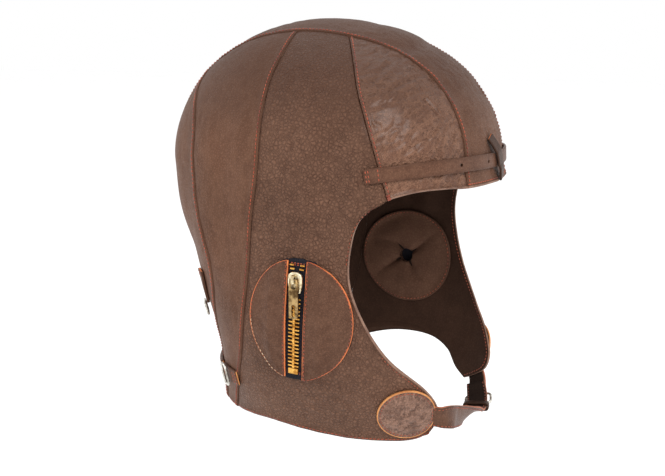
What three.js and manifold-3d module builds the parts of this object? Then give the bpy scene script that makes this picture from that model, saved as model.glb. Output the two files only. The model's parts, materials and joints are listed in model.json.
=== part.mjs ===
// Leather flying helmet: a soft shell sewn from curved panels, with a round
// zipped ear pocket on each side, a brow strap, a chin strap and a nape strap.
// Millimetres, +Z up, the face looks along -Y and the wearer's left is +X.
// The origin is the inside of the crown, where the helmet rests on the head.
import * as THREE from 'three';
import { mergeVertices } from 'three/addons/utils/BufferGeometryUtils.js';
import Module from 'manifold-3d';

const wasm = await Module();
wasm.setup();

// Driving dimensions
const wall = 1.8; // leather of the shell
const thinLeather = 1.4; // pockets, keepers, discs
const strapLeather = 1.8;
const fit = 0.3; // gap between pieces that touch
const lay = 0.55; // the same under pieces that lie on curved leather
const equator = -81; // where the crown starts to close in
const crownRise = 82.8; // from the equator to the outside of the crown
const hubHeight = -112; // panels above it are laid out from one centre

// The head form, as horizontal sections: half width, reach to the front and
// to the back, and how square the section is (2 is an ellipse).
const headForm = table(['z', 'half', 'front', 'back', 'square'], [
  [-239, 67, 112, 69, 2.0],
  [-197, 81.5, 112, 62, 2.25],
  [-155, 86.5, 109, 72, 2.4],
  [-113, 86, 110, 89.5, 2.45],
  [-81, 85, 104, 96.5, 2.3],
]);

// Soft folds: a line in side view from (y0, z0) to (y1, z1), how wide and deep
// the leather sinks along it, and where across the helmet it lies.
const folds = table(['place', 'y0', 'z0', 'y1', 'z1', 'width', 'depth'], [
  ['strip', -58, -16, -58, -16, 6, 2.2],
  ['strip', -84, -42, -84, -42, 7, 2.4],
  ['strip', -26, -6, -26, -6, 9, 1.0],
  ['strip', 60, -22, 60, -22, 10, 1.4],
  ['side', -36, -62, -33, -122, 9, 2.2],
  ['side', 32, -60, 30, -130, 10, 1.6],
  ['side', 64, -66, 62, -130, 9, 1.4],
]);
const stripHalf = 34; // half width of the centre strip

// Seams and edges of the right side, x measured outwards
const point = ['x', 'y', 'z'];
const stripEdge = table(point, [
  [36, -98, -91.5], [34, -93, -55], [32, -79, -34], [33, -56, -16],
  [36, -27, -9], [35, 6, -6], [34, 40, -13], [34, 66, -28],
  [35, 86, -55], [35, 93, -85], [34, 84, -120], [32, 70, -155],
  [31, 61, -195], [30, 66, -229],
]);
const templeSeam = table(point, [
  [36, -27, -9], [53, -37, -22], [65, -45, -37], [71, -52, -52],
  [73, -58, -69], [73, -62, -81], [72, -66, -95],
]);
const browEdge = table(point, [
  [0, -104, -92], [36, -98, -91.5], [47, -93, -90.5], [61, -81, -91],
  [68, -72, -93], [72, -66, -95],
]);
const earSeam = table(point, [
  [35, 6, -6], [53, 5, -16], [67, 6, -30], [76, 6, -43], [85, 6, -75],
  [86, 10, -109], [86, 13, -144], [80, 21, -188], [70, 29, -212], [61, 37, -231],
]);
const rearSeam = table(point, [
  [34, 66, -28], [50, 65, -38], [61, 60, -47], [71, 56, -61], [74, 55, -85],
  [77, 49, -115], [78, 43, -139], [75, 42, -157], [66, 46, -180], [56, 50, -205],
  [54, 52, -230],
]);
const faceEdges = {
  right: table(point, [
    [72, -66, -95], [75, -62, -97], [79, -53, -106], [81, -49, -120],
    [81, -48, -140], [79, -55, -161], [71, -67, -184], [56, -85, -205],
    [50, -89, -214], [47.5, -89.5, -220], [46.5, -87.5, -228], [47.5, -83, -234.5],
  ]),
  left: table(point, [
    [72, -66, -95], [76, -60, -99], [78, -56, -111], [79, -55, -128],
    [76, -62, -158], [67, -75, -183], [53, -88, -205], [48, -91, -214],
    [47, -89, -222], [51, -81, -229], [54, -74, -233],
  ]),
};
const hems = {
  right: table(point, [
    [47.5, -83, -234.5], [50.5, -75, -238], [58, -57, -239], [64, -35, -238],
    [69, -11, -235], [69, 8, -232], [66, 28, -232], [60, 37, -232],
    [48, 52, -231], [30, 66, -229], [0, 68, -228],
  ]),
  left: table(point, [
    [54, -74, -233], [60, -66, -228], [67, -55, -217], [73, -45, -211],
    [76, -32, -208], [78, -10, -207], [77, 11, -210], [70, 30, -215],
    [55, 48, -221], [30, 66, -227], [0, 68, -228],
  ]),
};

// Rows and columns of each panel's grid
const grid = { crown: 7, face: 11, temple: 8, side: 10, rearSide: 7, rear: 5, strip: 6 };

// Ear pockets and their zips
const pocket = { y: -16.3, z: -163.8, front: 33.7, rear: 26.3, halfTall: 35.3, lean: 0.063, slot: 5 };
const tape = { wide: 20, tall: 74, thick: 0.8 };
const chain = { wide: 6.2, thick: 1.4, bottom: -27.5, top: 15.6, pitch: 2.6, notch: 0.5 };
const slider = { wide: 8.6, tall: 12, thick: 2.4, up: 22.6, seat: 2.1 };
const bail = { wide: 1.8, wire: 1.1, rootWire: 1.5, sunk: 0.5, holeTall: 3.2, holeDeep: 2.4, up: 2.2 };
const bailDeep = bail.holeDeep + (bail.wire + bail.rootWire) / 2 + 0.1;
const pull = { wide: 5.6, tall: 22.5, thick: 1.1, bar: 1.0, windowTall: 5.2, slotTall: 6.5 };
const zipStop = { wide: 5.9, tall: 3.5, up: -29.7 };
const liner = { rightY: -15, leftY: -17.5, z: -160, halfWide: 34, halfTall: 32, thick: 1.2, hole: 4.2, clear: 0.8 };

// Brow
const browStrap = { wide: 8.4, rows: 30 };
const browStrapLine = table(point, [
  [75.5, -56.5, -82], [69, -70, -80], [57, -84, -78.5], [40, -95.5, -77.8],
  [20, -102, -78], [0, -104, -78.5],
]);
const browKeeper = { wide: 6, top: [-8, -102, -65], bottom: [3, -106, -90] };

// Chin: the strap's centre line, and the direction from its lower to its upper edge
const chinStrap = { wide: 13.5, thick: 2, rows: 30 };
const chinPath = table(['x', 'y', 'z', 'wx', 'wy', 'wz'], [
  [-49, -90, -221.8, -0.25, -0.1, 1],
  [-46.8, -92.4, -222.2, -0.15, -0.02, 1],
  [-43.5, -94.1, -223, -0.08, 0, 1],
  [-38.5, -95, -224.6, 0, 0, 1],
  [-32, -94.6, -226.8, 0, -0.1, 1],
  [-19, -94.5, -231, 0, -0.3, 0.95],
  [-6, -93.5, -234.8, 0, -0.62, 0.78],
  [8, -91.5, -238, 0, -0.88, 0.47],
  [20, -89.5, -241, 0, -1, 0.1],
  [32, -87.6, -242.2, 0.05, -1, 0.08],
  [40, -85.5, -240, 0, -1, 0.15],
  [44.5, -83.6, -236.2, 0, -0.95, 0.3],
  [46.6, -82.4, -232.6, -0.1, -0.9, 0.35],
]);
const chinDiscs = {
  right: { x: -58.5, y: -74.5, z: -219, radius: 17 },
  left: { x: 60, y: -76, z: -211, radius: 16 },
};
const chinTab = { thick: 2.4, wide: 12, rows: 6 };
const chinTabPath = table(['x', 'y', 'z', 'wx', 'wy', 'wz'], [
  [48.2, -83.2, -235.6, -0.1, -0.9, 0.35],
  [51, -82, -231.2, -0.25, -0.9, 0.25],
  [54, -79.8, -227.9, -0.5, -0.85, 0.1],
]);
const chinKeeper = { at: [29, -88, -242], long: 5.5, clear: 0.5, thick: 1.2 };
const chinBuckle = { at: [40.2, -85.4, -239.8], wide: 18.5, long: 10, wire: 1.7 };

// Nape
const nape = { wide: 10, z: -208, from: [-60, 44.8, -208], tabFrom: [-73.2, 27.5, -208] };
const napeBuckle = { at: [-66.4, 38, -208], wide: 15, long: 9, wire: 1.6, lift: 3.2 };
const rearKeeper = { wide: 8, top: [65, 55, -146], bottom: [61.5, 54.5, -166] };
const rearBuckle = { at: [61, 54.5, -169.4], wide: 13, long: 9, wire: 1.5, lift: 3.1 };

const finishes = {
  leather: { color: 0x6f5144, roughness: 0.5, metalness: 0 },
  lining: { color: 0x46342b, roughness: 0.75, metalness: 0 },
  tape: { color: 0x17161a, roughness: 0.9, metalness: 0 },
  brass: { color: 0xb98a45, roughness: 0.35, metalness: 1 },
  steel: { color: 0xb9b6ae, roughness: 0.3, metalness: 1 },
};

function table(columns, values) {
  return values.map((row) => Object.fromEntries(columns.map((name, i) => [name, row[i]])));
}

function vector([x, y, z]) {
  return new THREE.Vector3(x, y, z);
}

// A smooth monotone curve through one column of the head form
function column(name) {
  const z = headForm.map((row) => row.z);
  const value = headForm.map((row) => row[name]);
  const steps = z.slice(1).map((top, i) => (value[i + 1] - value[i]) / (top - z[i]));
  const slope = value.map((_, i) => {
    const below = steps[Math.max(0, i - 1)];
    const above = steps[Math.min(steps.length - 1, i)];
    return below * above <= 0 ? 0 : (2 * below * above) / (below + above);
  });
  return (height) => {
    const h = THREE.MathUtils.clamp(height, z[0], z.at(-1));
    const i = Math.min(z.length - 2, z.findLastIndex((level) => level <= h));
    const span = z[i + 1] - z[i];
    const t = (h - z[i]) / span;
    const a = value[i] * (1 + 2 * t) * (1 - t) ** 2 + value[i + 1] * t * t * (3 - 2 * t);
    return a + span * t * (1 - t) * (slope[i] * (1 - t) - slope[i + 1] * t);
  };
}
const half = column('half');
const front = column('front');
const back = column('back');
const square = column('square');

// Below zero inside the head form, above zero outside it
function formValue(x, y, z) {
  const n = square(z);
  const reach = y < 0 ? front(z) : back(z);
  const plan = (Math.abs(x) / half(z)) ** n + (Math.abs(y) / reach) ** n;
  return plan ** (2 / n) + (Math.max(0, z - equator) / crownRise) ** 2 - 1;
}

// The point of the form on the line from its centre through p
function onForm(p) {
  const hub = new THREE.Vector3(0, 0, Math.min(p.z, hubHeight));
  const away = p.clone().sub(hub);
  let low = 0.2;
  let high = 3;
  for (let i = 0; i < 40; i += 1) {
    const mid = (low + high) / 2;
    const q = away.clone().multiplyScalar(mid).add(hub);
    if (formValue(q.x, q.y, q.z) < 0) low = mid;
    else high = mid;
  }
  return away.multiplyScalar(low).add(hub);
}

function outward(p) {
  const d = 0.4;
  return new THREE.Vector3(
    formValue(p.x + d, p.y, p.z) - formValue(p.x - d, p.y, p.z),
    formValue(p.x, p.y + d, p.z) - formValue(p.x, p.y - d, p.z),
    formValue(p.x, p.y, p.z + d) - formValue(p.x, p.y, p.z - d),
  ).normalize();
}

function smooth(from, to, value) {
  return THREE.MathUtils.smoothstep(value, from, to);
}

// How far the folds sink the leather at p
function foldDepth(p) {
  const onSide = smooth(stripHalf, stripHalf + 14, Math.abs(p.x));
  const onStrip = 1 - smooth(stripHalf * 0.6, stripHalf, Math.abs(p.x));
  return folds.reduce((sum, fold) => {
    const ay = fold.y1 - fold.y0;
    const az = fold.z1 - fold.z0;
    const along = ((p.y - fold.y0) * ay + (p.z - fold.z0) * az) / Math.max(1, ay * ay + az * az);
    const t = THREE.MathUtils.clamp(along, 0, 1);
    const gap = Math.hypot(p.y - fold.y0 - t * ay, p.z - fold.z0 - t * az);
    const share = fold.place === 'strip' ? onStrip : onSide;
    return sum + share * fold.depth * Math.exp(-((gap / fold.width) ** 2));
  }, 0);
}

// A point of the leather's outer face, or lifted off it
function onSkin(p, lift = 0) {
  const base = onForm(p);
  return base.clone().addScaledVector(outward(base), lift - foldDepth(base));
}

// A closed body between two like grids of points; equal points are welded
function closedBody(outer, inner) {
  const rows = outer.length;
  const columns = outer[0].length;
  const positions = [];
  const numbers = new Map();
  const number = (p) => {
    const key = [p.x, p.y, p.z].map((c) => Math.round(c * 1e4)).join();
    if (!numbers.has(key)) {
      numbers.set(key, positions.length / 3);
      positions.push(p.x, p.y, p.z);
    }
    return numbers.get(key);
  };
  const index = [];
  const triangle = (a, b, c) => {
    const ids = [number(a), number(b), number(c)];
    if (new Set(ids).size === 3) index.push(...ids);
  };
  const quad = (a, b, c, d) => {
    if (a.distanceToSquared(c) <= b.distanceToSquared(d)) {
      triangle(a, b, c);
      triangle(a, c, d);
    } else {
      triangle(a, b, d);
      triangle(b, c, d);
    }
  };
  for (let j = 0; j + 1 < rows; j += 1) {
    for (let i = 0; i + 1 < columns; i += 1) {
      quad(outer[j][i], outer[j + 1][i], outer[j + 1][i + 1], outer[j][i + 1]);
      quad(inner[j][i], inner[j][i + 1], inner[j + 1][i + 1], inner[j + 1][i]);
    }
  }
  const rim = [];
  for (let i = 0; i + 1 < columns; i += 1) rim.push([0, i]);
  for (let j = 0; j + 1 < rows; j += 1) rim.push([j, columns - 1]);
  for (let i = columns - 1; i > 0; i -= 1) rim.push([rows - 1, i]);
  for (let j = rows - 1; j > 0; j -= 1) rim.push([j, 0]);
  rim.forEach(([j, i], k) => {
    const [nj, ni] = rim[(k + 1) % rim.length];
    quad(outer[j][i], outer[nj][ni], inner[nj][ni], inner[j][i]);
  });
  const geometry = new THREE.BufferGeometry();
  geometry.setAttribute('position', new THREE.Float32BufferAttribute(positions, 3));
  geometry.setIndex(index);
  return volume(geometry) < 0 ? turned(geometry) : geometry;
}

function volume(geometry) {
  const p = geometry.attributes.position;
  const ids = geometry.index.array;
  const [a, b, c] = [0, 1, 2].map(() => new THREE.Vector3());
  let sum = 0;
  for (let i = 0; i < ids.length; i += 3) {
    a.fromBufferAttribute(p, ids[i]);
    b.fromBufferAttribute(p, ids[i + 1]);
    c.fromBufferAttribute(p, ids[i + 2]);
    sum += a.dot(b.cross(c)) / 6;
  }
  return sum;
}

function turned(geometry) {
  const ids = Array.from(geometry.index.array);
  for (let i = 0; i < ids.length; i += 3) [ids[i + 1], ids[i + 2]] = [ids[i + 2], ids[i + 1]];
  geometry.setIndex(ids);
  return geometry;
}

// A sheet lying on the leather: low and high are its lifts, or functions of the cell
function onLeather(cells, low, high) {
  const lift = (value, j, i) => (typeof value === 'function' ? value(j, i) : value);
  const face = (value) => cells.map((row, j) => row.map((p, i) => onSkin(p, lift(value, j, i))));
  return closedBody(face(high), face(low));
}

function solid(geometry) {
  const bare = geometry.clone();
  bare.deleteAttribute('normal');
  bare.deleteAttribute('uv');
  const merged = mergeVertices(bare, 1e-4);
  return new wasm.Manifold(new wasm.Mesh({
    numProp: 3,
    vertProperties: merged.attributes.position.array,
    triVerts: new Uint32Array(merged.index.array),
  }));
}

// The geometry of a cut or joined solid, with points closer than a hair welded
function fromSolid(manifold) {
  const hair = 0.04;
  const mesh = manifold.getMesh();
  const cut = new THREE.BufferGeometry();
  cut.setAttribute('position', new THREE.BufferAttribute(mesh.vertProperties, 3));
  cut.setIndex(Array.from(mesh.triVerts));
  const geometry = mergeVertices(cut, hair);
  const ids = geometry.index.array;
  const kept = [];
  for (let i = 0; i < ids.length; i += 3) {
    const corners = [ids[i], ids[i + 1], ids[i + 2]];
    if (new Set(corners).size === 3) kept.push(...corners);
  }
  geometry.setIndex(kept);
  return geometry;
}

const helmet = new THREE.Group();

function add(name, geometry, finish) {
  const mesh = new THREE.Mesh(geometry, new THREE.MeshStandardMaterial(finishes[finish]));
  mesh.name = name;
  helmet.add(mesh);
  return mesh;
}

const sides = [{ name: 'right', sign: -1 }, { name: 'left', sign: 1 }];

// A smooth curve through a table's points, on one side of the helmet
function seam(rows, sign) {
  const points = rows.map((row) => new THREE.Vector3(sign * row.x, row.y, row.z));
  return new THREE.CatmullRomCurve3(points, false, 'centripetal');
}

function stretch(curve, from, to, count) {
  return Array.from({ length: count + 1 }, (_, i) => (
    onForm(curve.getPointAt(THREE.MathUtils.lerp(from, to, i / count)))));
}

// Where along a curve it passes closest to a point
function nearest(curve, target) {
  const fine = 600;
  let best = 0;
  for (let i = 1; i <= fine; i += 1) {
    const gap = curve.getPointAt(i / fine).distanceToSquared(target);
    if (gap < curve.getPointAt(best / fine).distanceToSquared(target)) best = i;
  }
  return best / fine;
}

// The shared edges of one side, sampled once so that neighbours match
function edgesOf({ name, sign }) {
  const at = (row) => new THREE.Vector3(sign * row.x, row.y, row.z);
  const strip = seam(stripEdge, sign);
  const hem = seam(hems[name], sign);
  const mid = nearest(strip, at(stripEdge[2]));
  const templeTop = nearest(strip, at(templeSeam[0]));
  const earTop = nearest(strip, at(earSeam[0]));
  const rearTop = nearest(strip, at(rearSeam[0]));
  const earFoot = nearest(hem, at(earSeam.at(-1)));
  const rearFoot = nearest(hem, at(rearSeam.at(-1)));
  const stripFoot = nearest(hem, at(stripEdge.at(-1)));
  const rows = grid.crown + grid.face;
  const edges = {
    browToMid: stretch(strip, 0, mid, grid.crown),
    midToTemple: stretch(strip, mid, templeTop, grid.temple),
    templeToEar: stretch(strip, templeTop, earTop, grid.side),
    earToRear: stretch(strip, earTop, rearTop, grid.rearSide),
    rearToHem: stretch(strip, rearTop, 1, rows),
    temple: stretch(seam(templeSeam, sign), 0, 1, grid.crown),
    face: stretch(seam(faceEdges[name], sign), 0, 1, grid.face),
    ear: stretch(seam(earSeam, sign), 0, 1, rows),
    rear: stretch(seam(rearSeam, sign), 0, 1, rows),
    hemSide: stretch(hem, 0, earFoot, grid.side),
    hemRearSide: stretch(hem, earFoot, rearFoot, grid.rearSide),
    hemRear: stretch(hem, rearFoot, stripFoot, grid.rear),
    hemStrip: stretch(hem, stripFoot, 1, grid.strip / 2),
  };
  const brow = seam(browEdge, sign);
  const stripAtBrow = nearest(brow, at(stripEdge[0]));
  edges.browStrip = stretch(brow, 0, stripAtBrow, grid.strip / 2);
  edges.browTemple = stretch(brow, stripAtBrow, 1, grid.temple);
  const join = (a, i, b, j) => edges[b].splice(j < 0 ? edges[b].length + j : j, 1, edges[a].at(i));
  join('browToMid', -1, 'midToTemple', 0);
  join('midToTemple', -1, 'temple', 0);
  join('midToTemple', -1, 'templeToEar', 0);
  join('templeToEar', -1, 'ear', 0);
  join('templeToEar', -1, 'earToRear', 0);
  join('earToRear', -1, 'rear', 0);
  join('earToRear', -1, 'rearToHem', 0);
  join('browToMid', 0, 'browTemple', 0);
  join('browToMid', 0, 'browStrip', -1);
  join('temple', -1, 'browTemple', -1);
  join('temple', -1, 'face', 0);
  join('face', -1, 'hemSide', 0);
  join('hemSide', -1, 'ear', -1);
  join('hemSide', -1, 'hemRearSide', 0);
  join('hemRearSide', -1, 'rear', -1);
  join('hemRearSide', -1, 'hemRear', 0);
  join('hemRear', -1, 'rearToHem', -1);
  join('hemRear', -1, 'hemStrip', 0);
  return edges;
}

// A grid spanned between four edges, laid on the form and drawn in by half the
// seam's gap along its rim; edges run left to right and top to bottom
function spanned(top, bottom, left, right) {
  const columns = top.length - 1;
  const rows = left.length - 1;
  const cells = left.map((_, j) => top.map((__, i) => {
    const u = i / columns;
    const v = j / rows;
    const p = new THREE.Vector3();
    p.addScaledVector(left[j], 1 - u).addScaledVector(right[j], u);
    p.addScaledVector(top[i], 1 - v).addScaledVector(bottom[i], v);
    p.addScaledVector(top[0], -(1 - u) * (1 - v)).addScaledVector(top[columns], -u * (1 - v));
    p.addScaledVector(bottom[0], -(1 - u) * v).addScaledVector(bottom[columns], -u * v);
    return onForm(p);
  }));
  const pulled = (p, towards) => {
    const step = towards.clone().sub(p);
    const long = step.length();
    return long < fit ? new THREE.Vector3() : step.multiplyScalar(fit / 2 / long);
  };
  return cells.map((row, j) => row.map((p, i) => {
    const q = p.clone();
    if (i === 0) q.add(pulled(p, row[1]));
    if (i === columns) q.add(pulled(p, row[columns - 1]));
    if (j === 0) q.add(pulled(p, cells[1][i]));
    if (j === rows) q.add(pulled(p, cells[rows - 1][i]));
    return q;
  }));
}

function addPanel(name, cells) {
  add(name, onLeather(cells, -wall, 0), 'leather');
}

const edges = Object.fromEntries(sides.map((side) => [side.name, edgesOf(side)]));

// Ear hole of the side panel and its lining: a short rod across the side
function earHole(sign, y) {
  const rod = new THREE.CylinderGeometry(liner.hole, liner.hole, 24, 12);
  rod.rotateY(Math.PI / 12);
  rod.rotateZ(Math.PI / 2);
  const centre = onForm(new THREE.Vector3(sign * 80, y, liner.z));
  rod.translate(centre.x - sign * 6, centre.y, centre.z);
  return solid(rod);
}

for (const side of sides) {
  const e = edges[side.name];
  const lower = [...e.temple, ...e.face.slice(1)];
  addPanel(`temple_panel_${side.name}`, spanned(
    e.midToTemple, e.browTemple, [...e.browToMid].reverse(), e.temple));
  const sideShell = onLeather(spanned(e.templeToEar, e.hemSide, lower, e.ear), -wall, 0);
  const hole = earHole(side.sign, liner[`${side.name}Y`]);
  add(`side_panel_${side.name}`, fromSolid(solid(sideShell).subtract(hole)), 'leather');
  addPanel(`rear_side_panel_${side.name}`, spanned(e.earToRear, e.hemRearSide, e.ear, e.rear));
  const tip = e.rear[0].clone().lerp(e.rear[1].clone().add(e.rearToHem[1]).multiplyScalar(0.5), 0.12);
  const rear = spanned(
    Array.from({ length: grid.rear + 1 }, () => e.rear[0]), e.hemRear, e.rear, e.rearToHem);
  rear[0] = rear[0].map(() => tip);
  addPanel(`rear_panel_${side.name}`, rear);
}

function stripSide(e) {
  const parts = [e.browToMid, e.midToTemple, e.templeToEar, e.earToRear, e.rearToHem];
  return parts.flatMap((part, i) => (i ? part.slice(1) : part));
}
addPanel('crown_strip', spanned(
  [...[...edges.right.browStrip].reverse(), ...edges.left.browStrip.slice(1)],
  [...edges.right.hemStrip, ...[...edges.left.hemStrip].reverse().slice(1)],
  stripSide(edges.right),
  stripSide(edges.left),
));

// A point of an ear pocket: across towards the back, and up along the zip
function pocketPoint(sign, across, up) {
  const y = pocket.y + across - pocket.lean * up;
  const z = pocket.z + up + pocket.lean * across;
  return new THREE.Vector3(sign * 80, y, z);
}

function cellsOf(rows, columns, place) {
  return Array.from({ length: rows + 1 }, (_, j) => (
    Array.from({ length: columns + 1 }, (__, i) => place(j / rows, i / columns))));
}

// Half of the round pocket; it rides over the zip tape beside the slot
function pocketHalf(sign, way) {
  const wide = way < 0 ? pocket.front : pocket.rear;
  const end = Math.acos((pocket.slot + 1.6) / wide);
  const across = (v, u) => {
    const rim = wide * Math.cos(THREE.MathUtils.lerp(-end, end, v));
    return THREE.MathUtils.lerp(pocket.slot, rim, u);
  };
  const rows = 10;
  const columns = 4;
  const cells = cellsOf(rows, columns, (v, u) => pocketPoint(
    sign, way * across(v, u), pocket.halfTall * Math.sin(THREE.MathUtils.lerp(-end, end, v))));
  const overTape = lay + tape.thick + fit;
  const low = (j, i) => {
    const away = smooth(tape.wide / 2 + 3, tape.wide / 2 + 9, across(j / rows, i / columns));
    return THREE.MathUtils.lerp(overTape, lay, away);
  };
  return onLeather(cells, low, (j, i) => low(j, i) + thinLeather);
}

function zipTape(sign) {
  const cells = cellsOf(10, 2, (v, u) => pocketPoint(
    sign, (u - 0.5) * tape.wide, (0.5 - v) * tape.tall));
  return onLeather(cells, lay, lay + tape.thick);
}

// Closed teeth: each step of the chain shows its tooth on the other side
function zipTeeth(sign) {
  const steps = Math.round((chain.top - chain.bottom) / chain.pitch) * 2;
  const seat = lay + tape.thick + fit;
  const cells = cellsOf(steps, 1, (v, u) => {
    const even = Math.round(v * steps) % 4 < 2;
    const reach = chain.wide / 2 - (even === (u < 0.5) ? chain.notch : 0);
    return pocketPoint(sign, (u < 0.5 ? -1 : 1) * reach, THREE.MathUtils.lerp(chain.top, chain.bottom, v));
  });
  return onLeather(cells, seat, seat + chain.thick);
}

// An outline in (out from the leather, up), given depth across the zip
function acrossZip(shape, wide) {
  const geometry = new THREE.ExtrudeGeometry(shape, { depth: wide, bevelEnabled: false, curveSegments: 4 });
  geometry.translate(0, 0, -wide / 2);
  geometry.rotateX(Math.PI / 2);
  return geometry;
}

function roundedBox(width, height, radius) {
  const shape = new THREE.Shape();
  const [w, h] = [width / 2, height / 2];
  shape.moveTo(-w + radius, -h);
  shape.lineTo(w - radius, -h);
  shape.absarc(w - radius, -h + radius, radius, -Math.PI / 2, 0);
  shape.lineTo(w, h - radius);
  shape.absarc(w - radius, h - radius, radius, 0, Math.PI / 2);
  shape.lineTo(-w + radius, h);
  shape.absarc(-w + radius, h - radius, radius, Math.PI / 2, Math.PI);
  shape.lineTo(-w, -h + radius);
  shape.absarc(-w + radius, -h + radius, radius, Math.PI, 1.5 * Math.PI);
  return shape;
}

// Slider: a body with a waisted nose, and the bail that carries the pull.
// Its own axes: x out from the leather, y across the zip, z up.
function zipSlider() {
  const plan = new THREE.Shape();
  const [w, h] = [slider.wide / 2, slider.tall / 2];
  plan.moveTo(-w * 0.72, -h);
  plan.lineTo(w * 0.72, -h);
  plan.lineTo(w, -h * 0.2);
  plan.lineTo(w, h * 0.7);
  plan.lineTo(w * 0.3, h);
  plan.lineTo(-w * 0.3, h);
  plan.lineTo(-w, h * 0.7);
  plan.lineTo(-w, -h * 0.2);
  const body = new THREE.ExtrudeGeometry(plan, { depth: slider.thick, bevelEnabled: false });
  body.applyMatrix4(new THREE.Matrix4().makeBasis(
    new THREE.Vector3(0, 1, 0), new THREE.Vector3(0, 0, 1), new THREE.Vector3(1, 0, 0)));
  const arch = roundedBox(bailDeep, bail.holeTall + 2 * bail.wire, 1.3);
  const eye = roundedBox(bail.holeDeep, bail.holeTall, 0.6);
  arch.holes.push(new THREE.Path(eye.getPoints(4).reverse()));
  const loop = acrossZip(arch, bail.wide);
  loop.translate(slider.thick + bailDeep / 2 - bail.sunk, 0, bail.up);
  return fromSolid(solid(body).add(solid(loop)));
}

// Pull: a flat tab whose top bar lies in the bail's eye. Its origin is the bar.
function zipPull() {
  const tab = new THREE.Shape();
  const w = pull.wide / 2;
  tab.moveTo(-w * 0.8, pull.bar / 2);
  tab.lineTo(-w, -pull.windowTall);
  tab.lineTo(-w, -pull.tall);
  tab.lineTo(w, -pull.tall);
  tab.lineTo(w, -pull.windowTall);
  tab.lineTo(w * 0.8, pull.bar / 2);
  const plate = new THREE.ExtrudeGeometry(tab, { depth: pull.thick, bevelEnabled: false });
  plate.translate(0, 0, -pull.thick / 2);
  const opening = (wide, low, high) => {
    const box = new THREE.BoxGeometry(wide, high - low, 2 * pull.thick);
    return solid(box.translate(0, (low + high) / 2, 0));
  };
  const slotFoot = -pull.tall + 1.6;
  const geometry = fromSolid(solid(plate)
    .subtract(opening(w, -pull.windowTall, -pull.bar / 2))
    .subtract(opening(w * 0.7, slotFoot, slotFoot + pull.slotTall)));
  geometry.applyMatrix4(new THREE.Matrix4().makeBasis(
    new THREE.Vector3(0, 1, 0), new THREE.Vector3(0, 0, 1), new THREE.Vector3(1, 0, 0)));
  return geometry;
}

for (const { name, sign } of sides) {
  add(`ear_pocket_front_${name}`, pocketHalf(sign, -1), 'leather');
  add(`ear_pocket_rear_${name}`, pocketHalf(sign, 1), 'leather');
  add(`zip_tape_${name}`, zipTape(sign), 'tape');
  add(`zip_teeth_${name}`, zipTeeth(sign), 'brass');
  const stopSeat = lay + tape.thick + fit;
  const stopCells = cellsOf(1, 1, (v, u) => pocketPoint(
    sign, (u - 0.5) * zipStop.wide, zipStop.up + (0.5 - v) * zipStop.tall));
  add(`zip_stop_${name}`, onLeather(stopCells, stopSeat, stopSeat + 1.6), 'brass');
  const seat = onSkin(pocketPoint(sign, 0, slider.up), slider.seat);
  const turn = sign < 0 ? Math.PI : 0;
  const body = add(`zip_slider_${name}`, zipSlider(), 'brass');
  body.rotation.z = turn;
  body.position.copy(seat);
  const eyeOut = slider.thick - bail.sunk + bailDeep / 2;
  const tab = add(`zip_pull_${name}`, zipPull(), 'brass');
  tab.rotation.z = turn;
  tab.position.set(seat.x + sign * eyeOut, seat.y, seat.z + bail.up);
}

// Round patch inside the ear, with its small hole
for (const { name, sign } of sides) {
  const y = liner[`${name}Y`];
  const cells = cellsOf(7, 7, (v, u) => {
    const a = 2 * u - 1;
    const b = 2 * v - 1;
    const across = a * Math.sqrt(1 - (b * b) / 2) * liner.halfWide;
    const up = b * Math.sqrt(1 - (a * a) / 2) * liner.halfTall;
    return new THREE.Vector3(sign * 80, y + across, liner.z + up);
  });
  const sheet = onLeather(cells, -wall - liner.clear - liner.thick, -wall - liner.clear);
  add(`ear_liner_${name}`, fromSolid(solid(sheet).subtract(earHole(sign, y))), 'lining');
}

// A band on the leather along a curve, lifted by a function of the way along
function bandCells(curve, wide, rows, columns) {
  return Array.from({ length: rows + 1 }, (_, j) => {
    const t = j / rows;
    const centre = onForm(curve.getPointAt(t));
    const along = curve.getTangentAt(t);
    const aside = along.cross(outward(centre)).normalize();
    return Array.from({ length: columns + 1 }, (__, i) => (
      centre.clone().addScaledVector(aside, (i / columns - 0.5) * wide)));
  });
}

const browRight = browStrapLine.map((row) => [-row.x, row.y, row.z]);
const browLeft = [...browStrapLine].reverse().slice(1).map((row) => [row.x, row.y, row.z]);
const browCurve = new THREE.CatmullRomCurve3([...browRight, ...browLeft].map(vector), false, 'centripetal');
add('brow_strap', onLeather(
  bandCells(browCurve, browStrap.wide, browStrap.rows, 2), lay, lay + strapLeather), 'leather');

const keeperCurve = new THREE.LineCurve3(vector(browKeeper.top), vector(browKeeper.bottom));
const keeperRows = 12;
const overStrap = (j) => {
  const z = THREE.MathUtils.lerp(browKeeper.top[2], browKeeper.bottom[2], j / keeperRows);
  const away = Math.abs(z - browStrapLine.at(-1).z) - browStrap.wide / 2;
  return fit + (1 - smooth(1.6, 5.6, away)) * (strapLeather + lay + fit);
};
add('brow_keeper', onLeather(
  bandCells(keeperCurve, browKeeper.wide, keeperRows, 2),
  overStrap,
  (j) => overStrap(j) + thinLeather,
), 'leather');

// Round patches on the chin flaps
for (const { name } of sides) {
  const disc = chinDiscs[name];
  const centre = onForm(new THREE.Vector3(disc.x, disc.y, disc.z));
  const normal = outward(centre);
  const level = new THREE.Vector3(0, 0, 1).cross(normal).normalize();
  const up = normal.clone().cross(level);
  const cells = cellsOf(7, 7, (v, u) => {
    const a = 2 * u - 1;
    const b = 2 * v - 1;
    return centre.clone()
      .addScaledVector(level, a * Math.sqrt(1 - (b * b) / 2) * disc.radius)
      .addScaledVector(up, b * Math.sqrt(1 - (a * a) / 2) * disc.radius);
  });
  add(`chin_disc_${name}`, onLeather(cells, lay, lay + thinLeather), 'leather');
}

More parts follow.
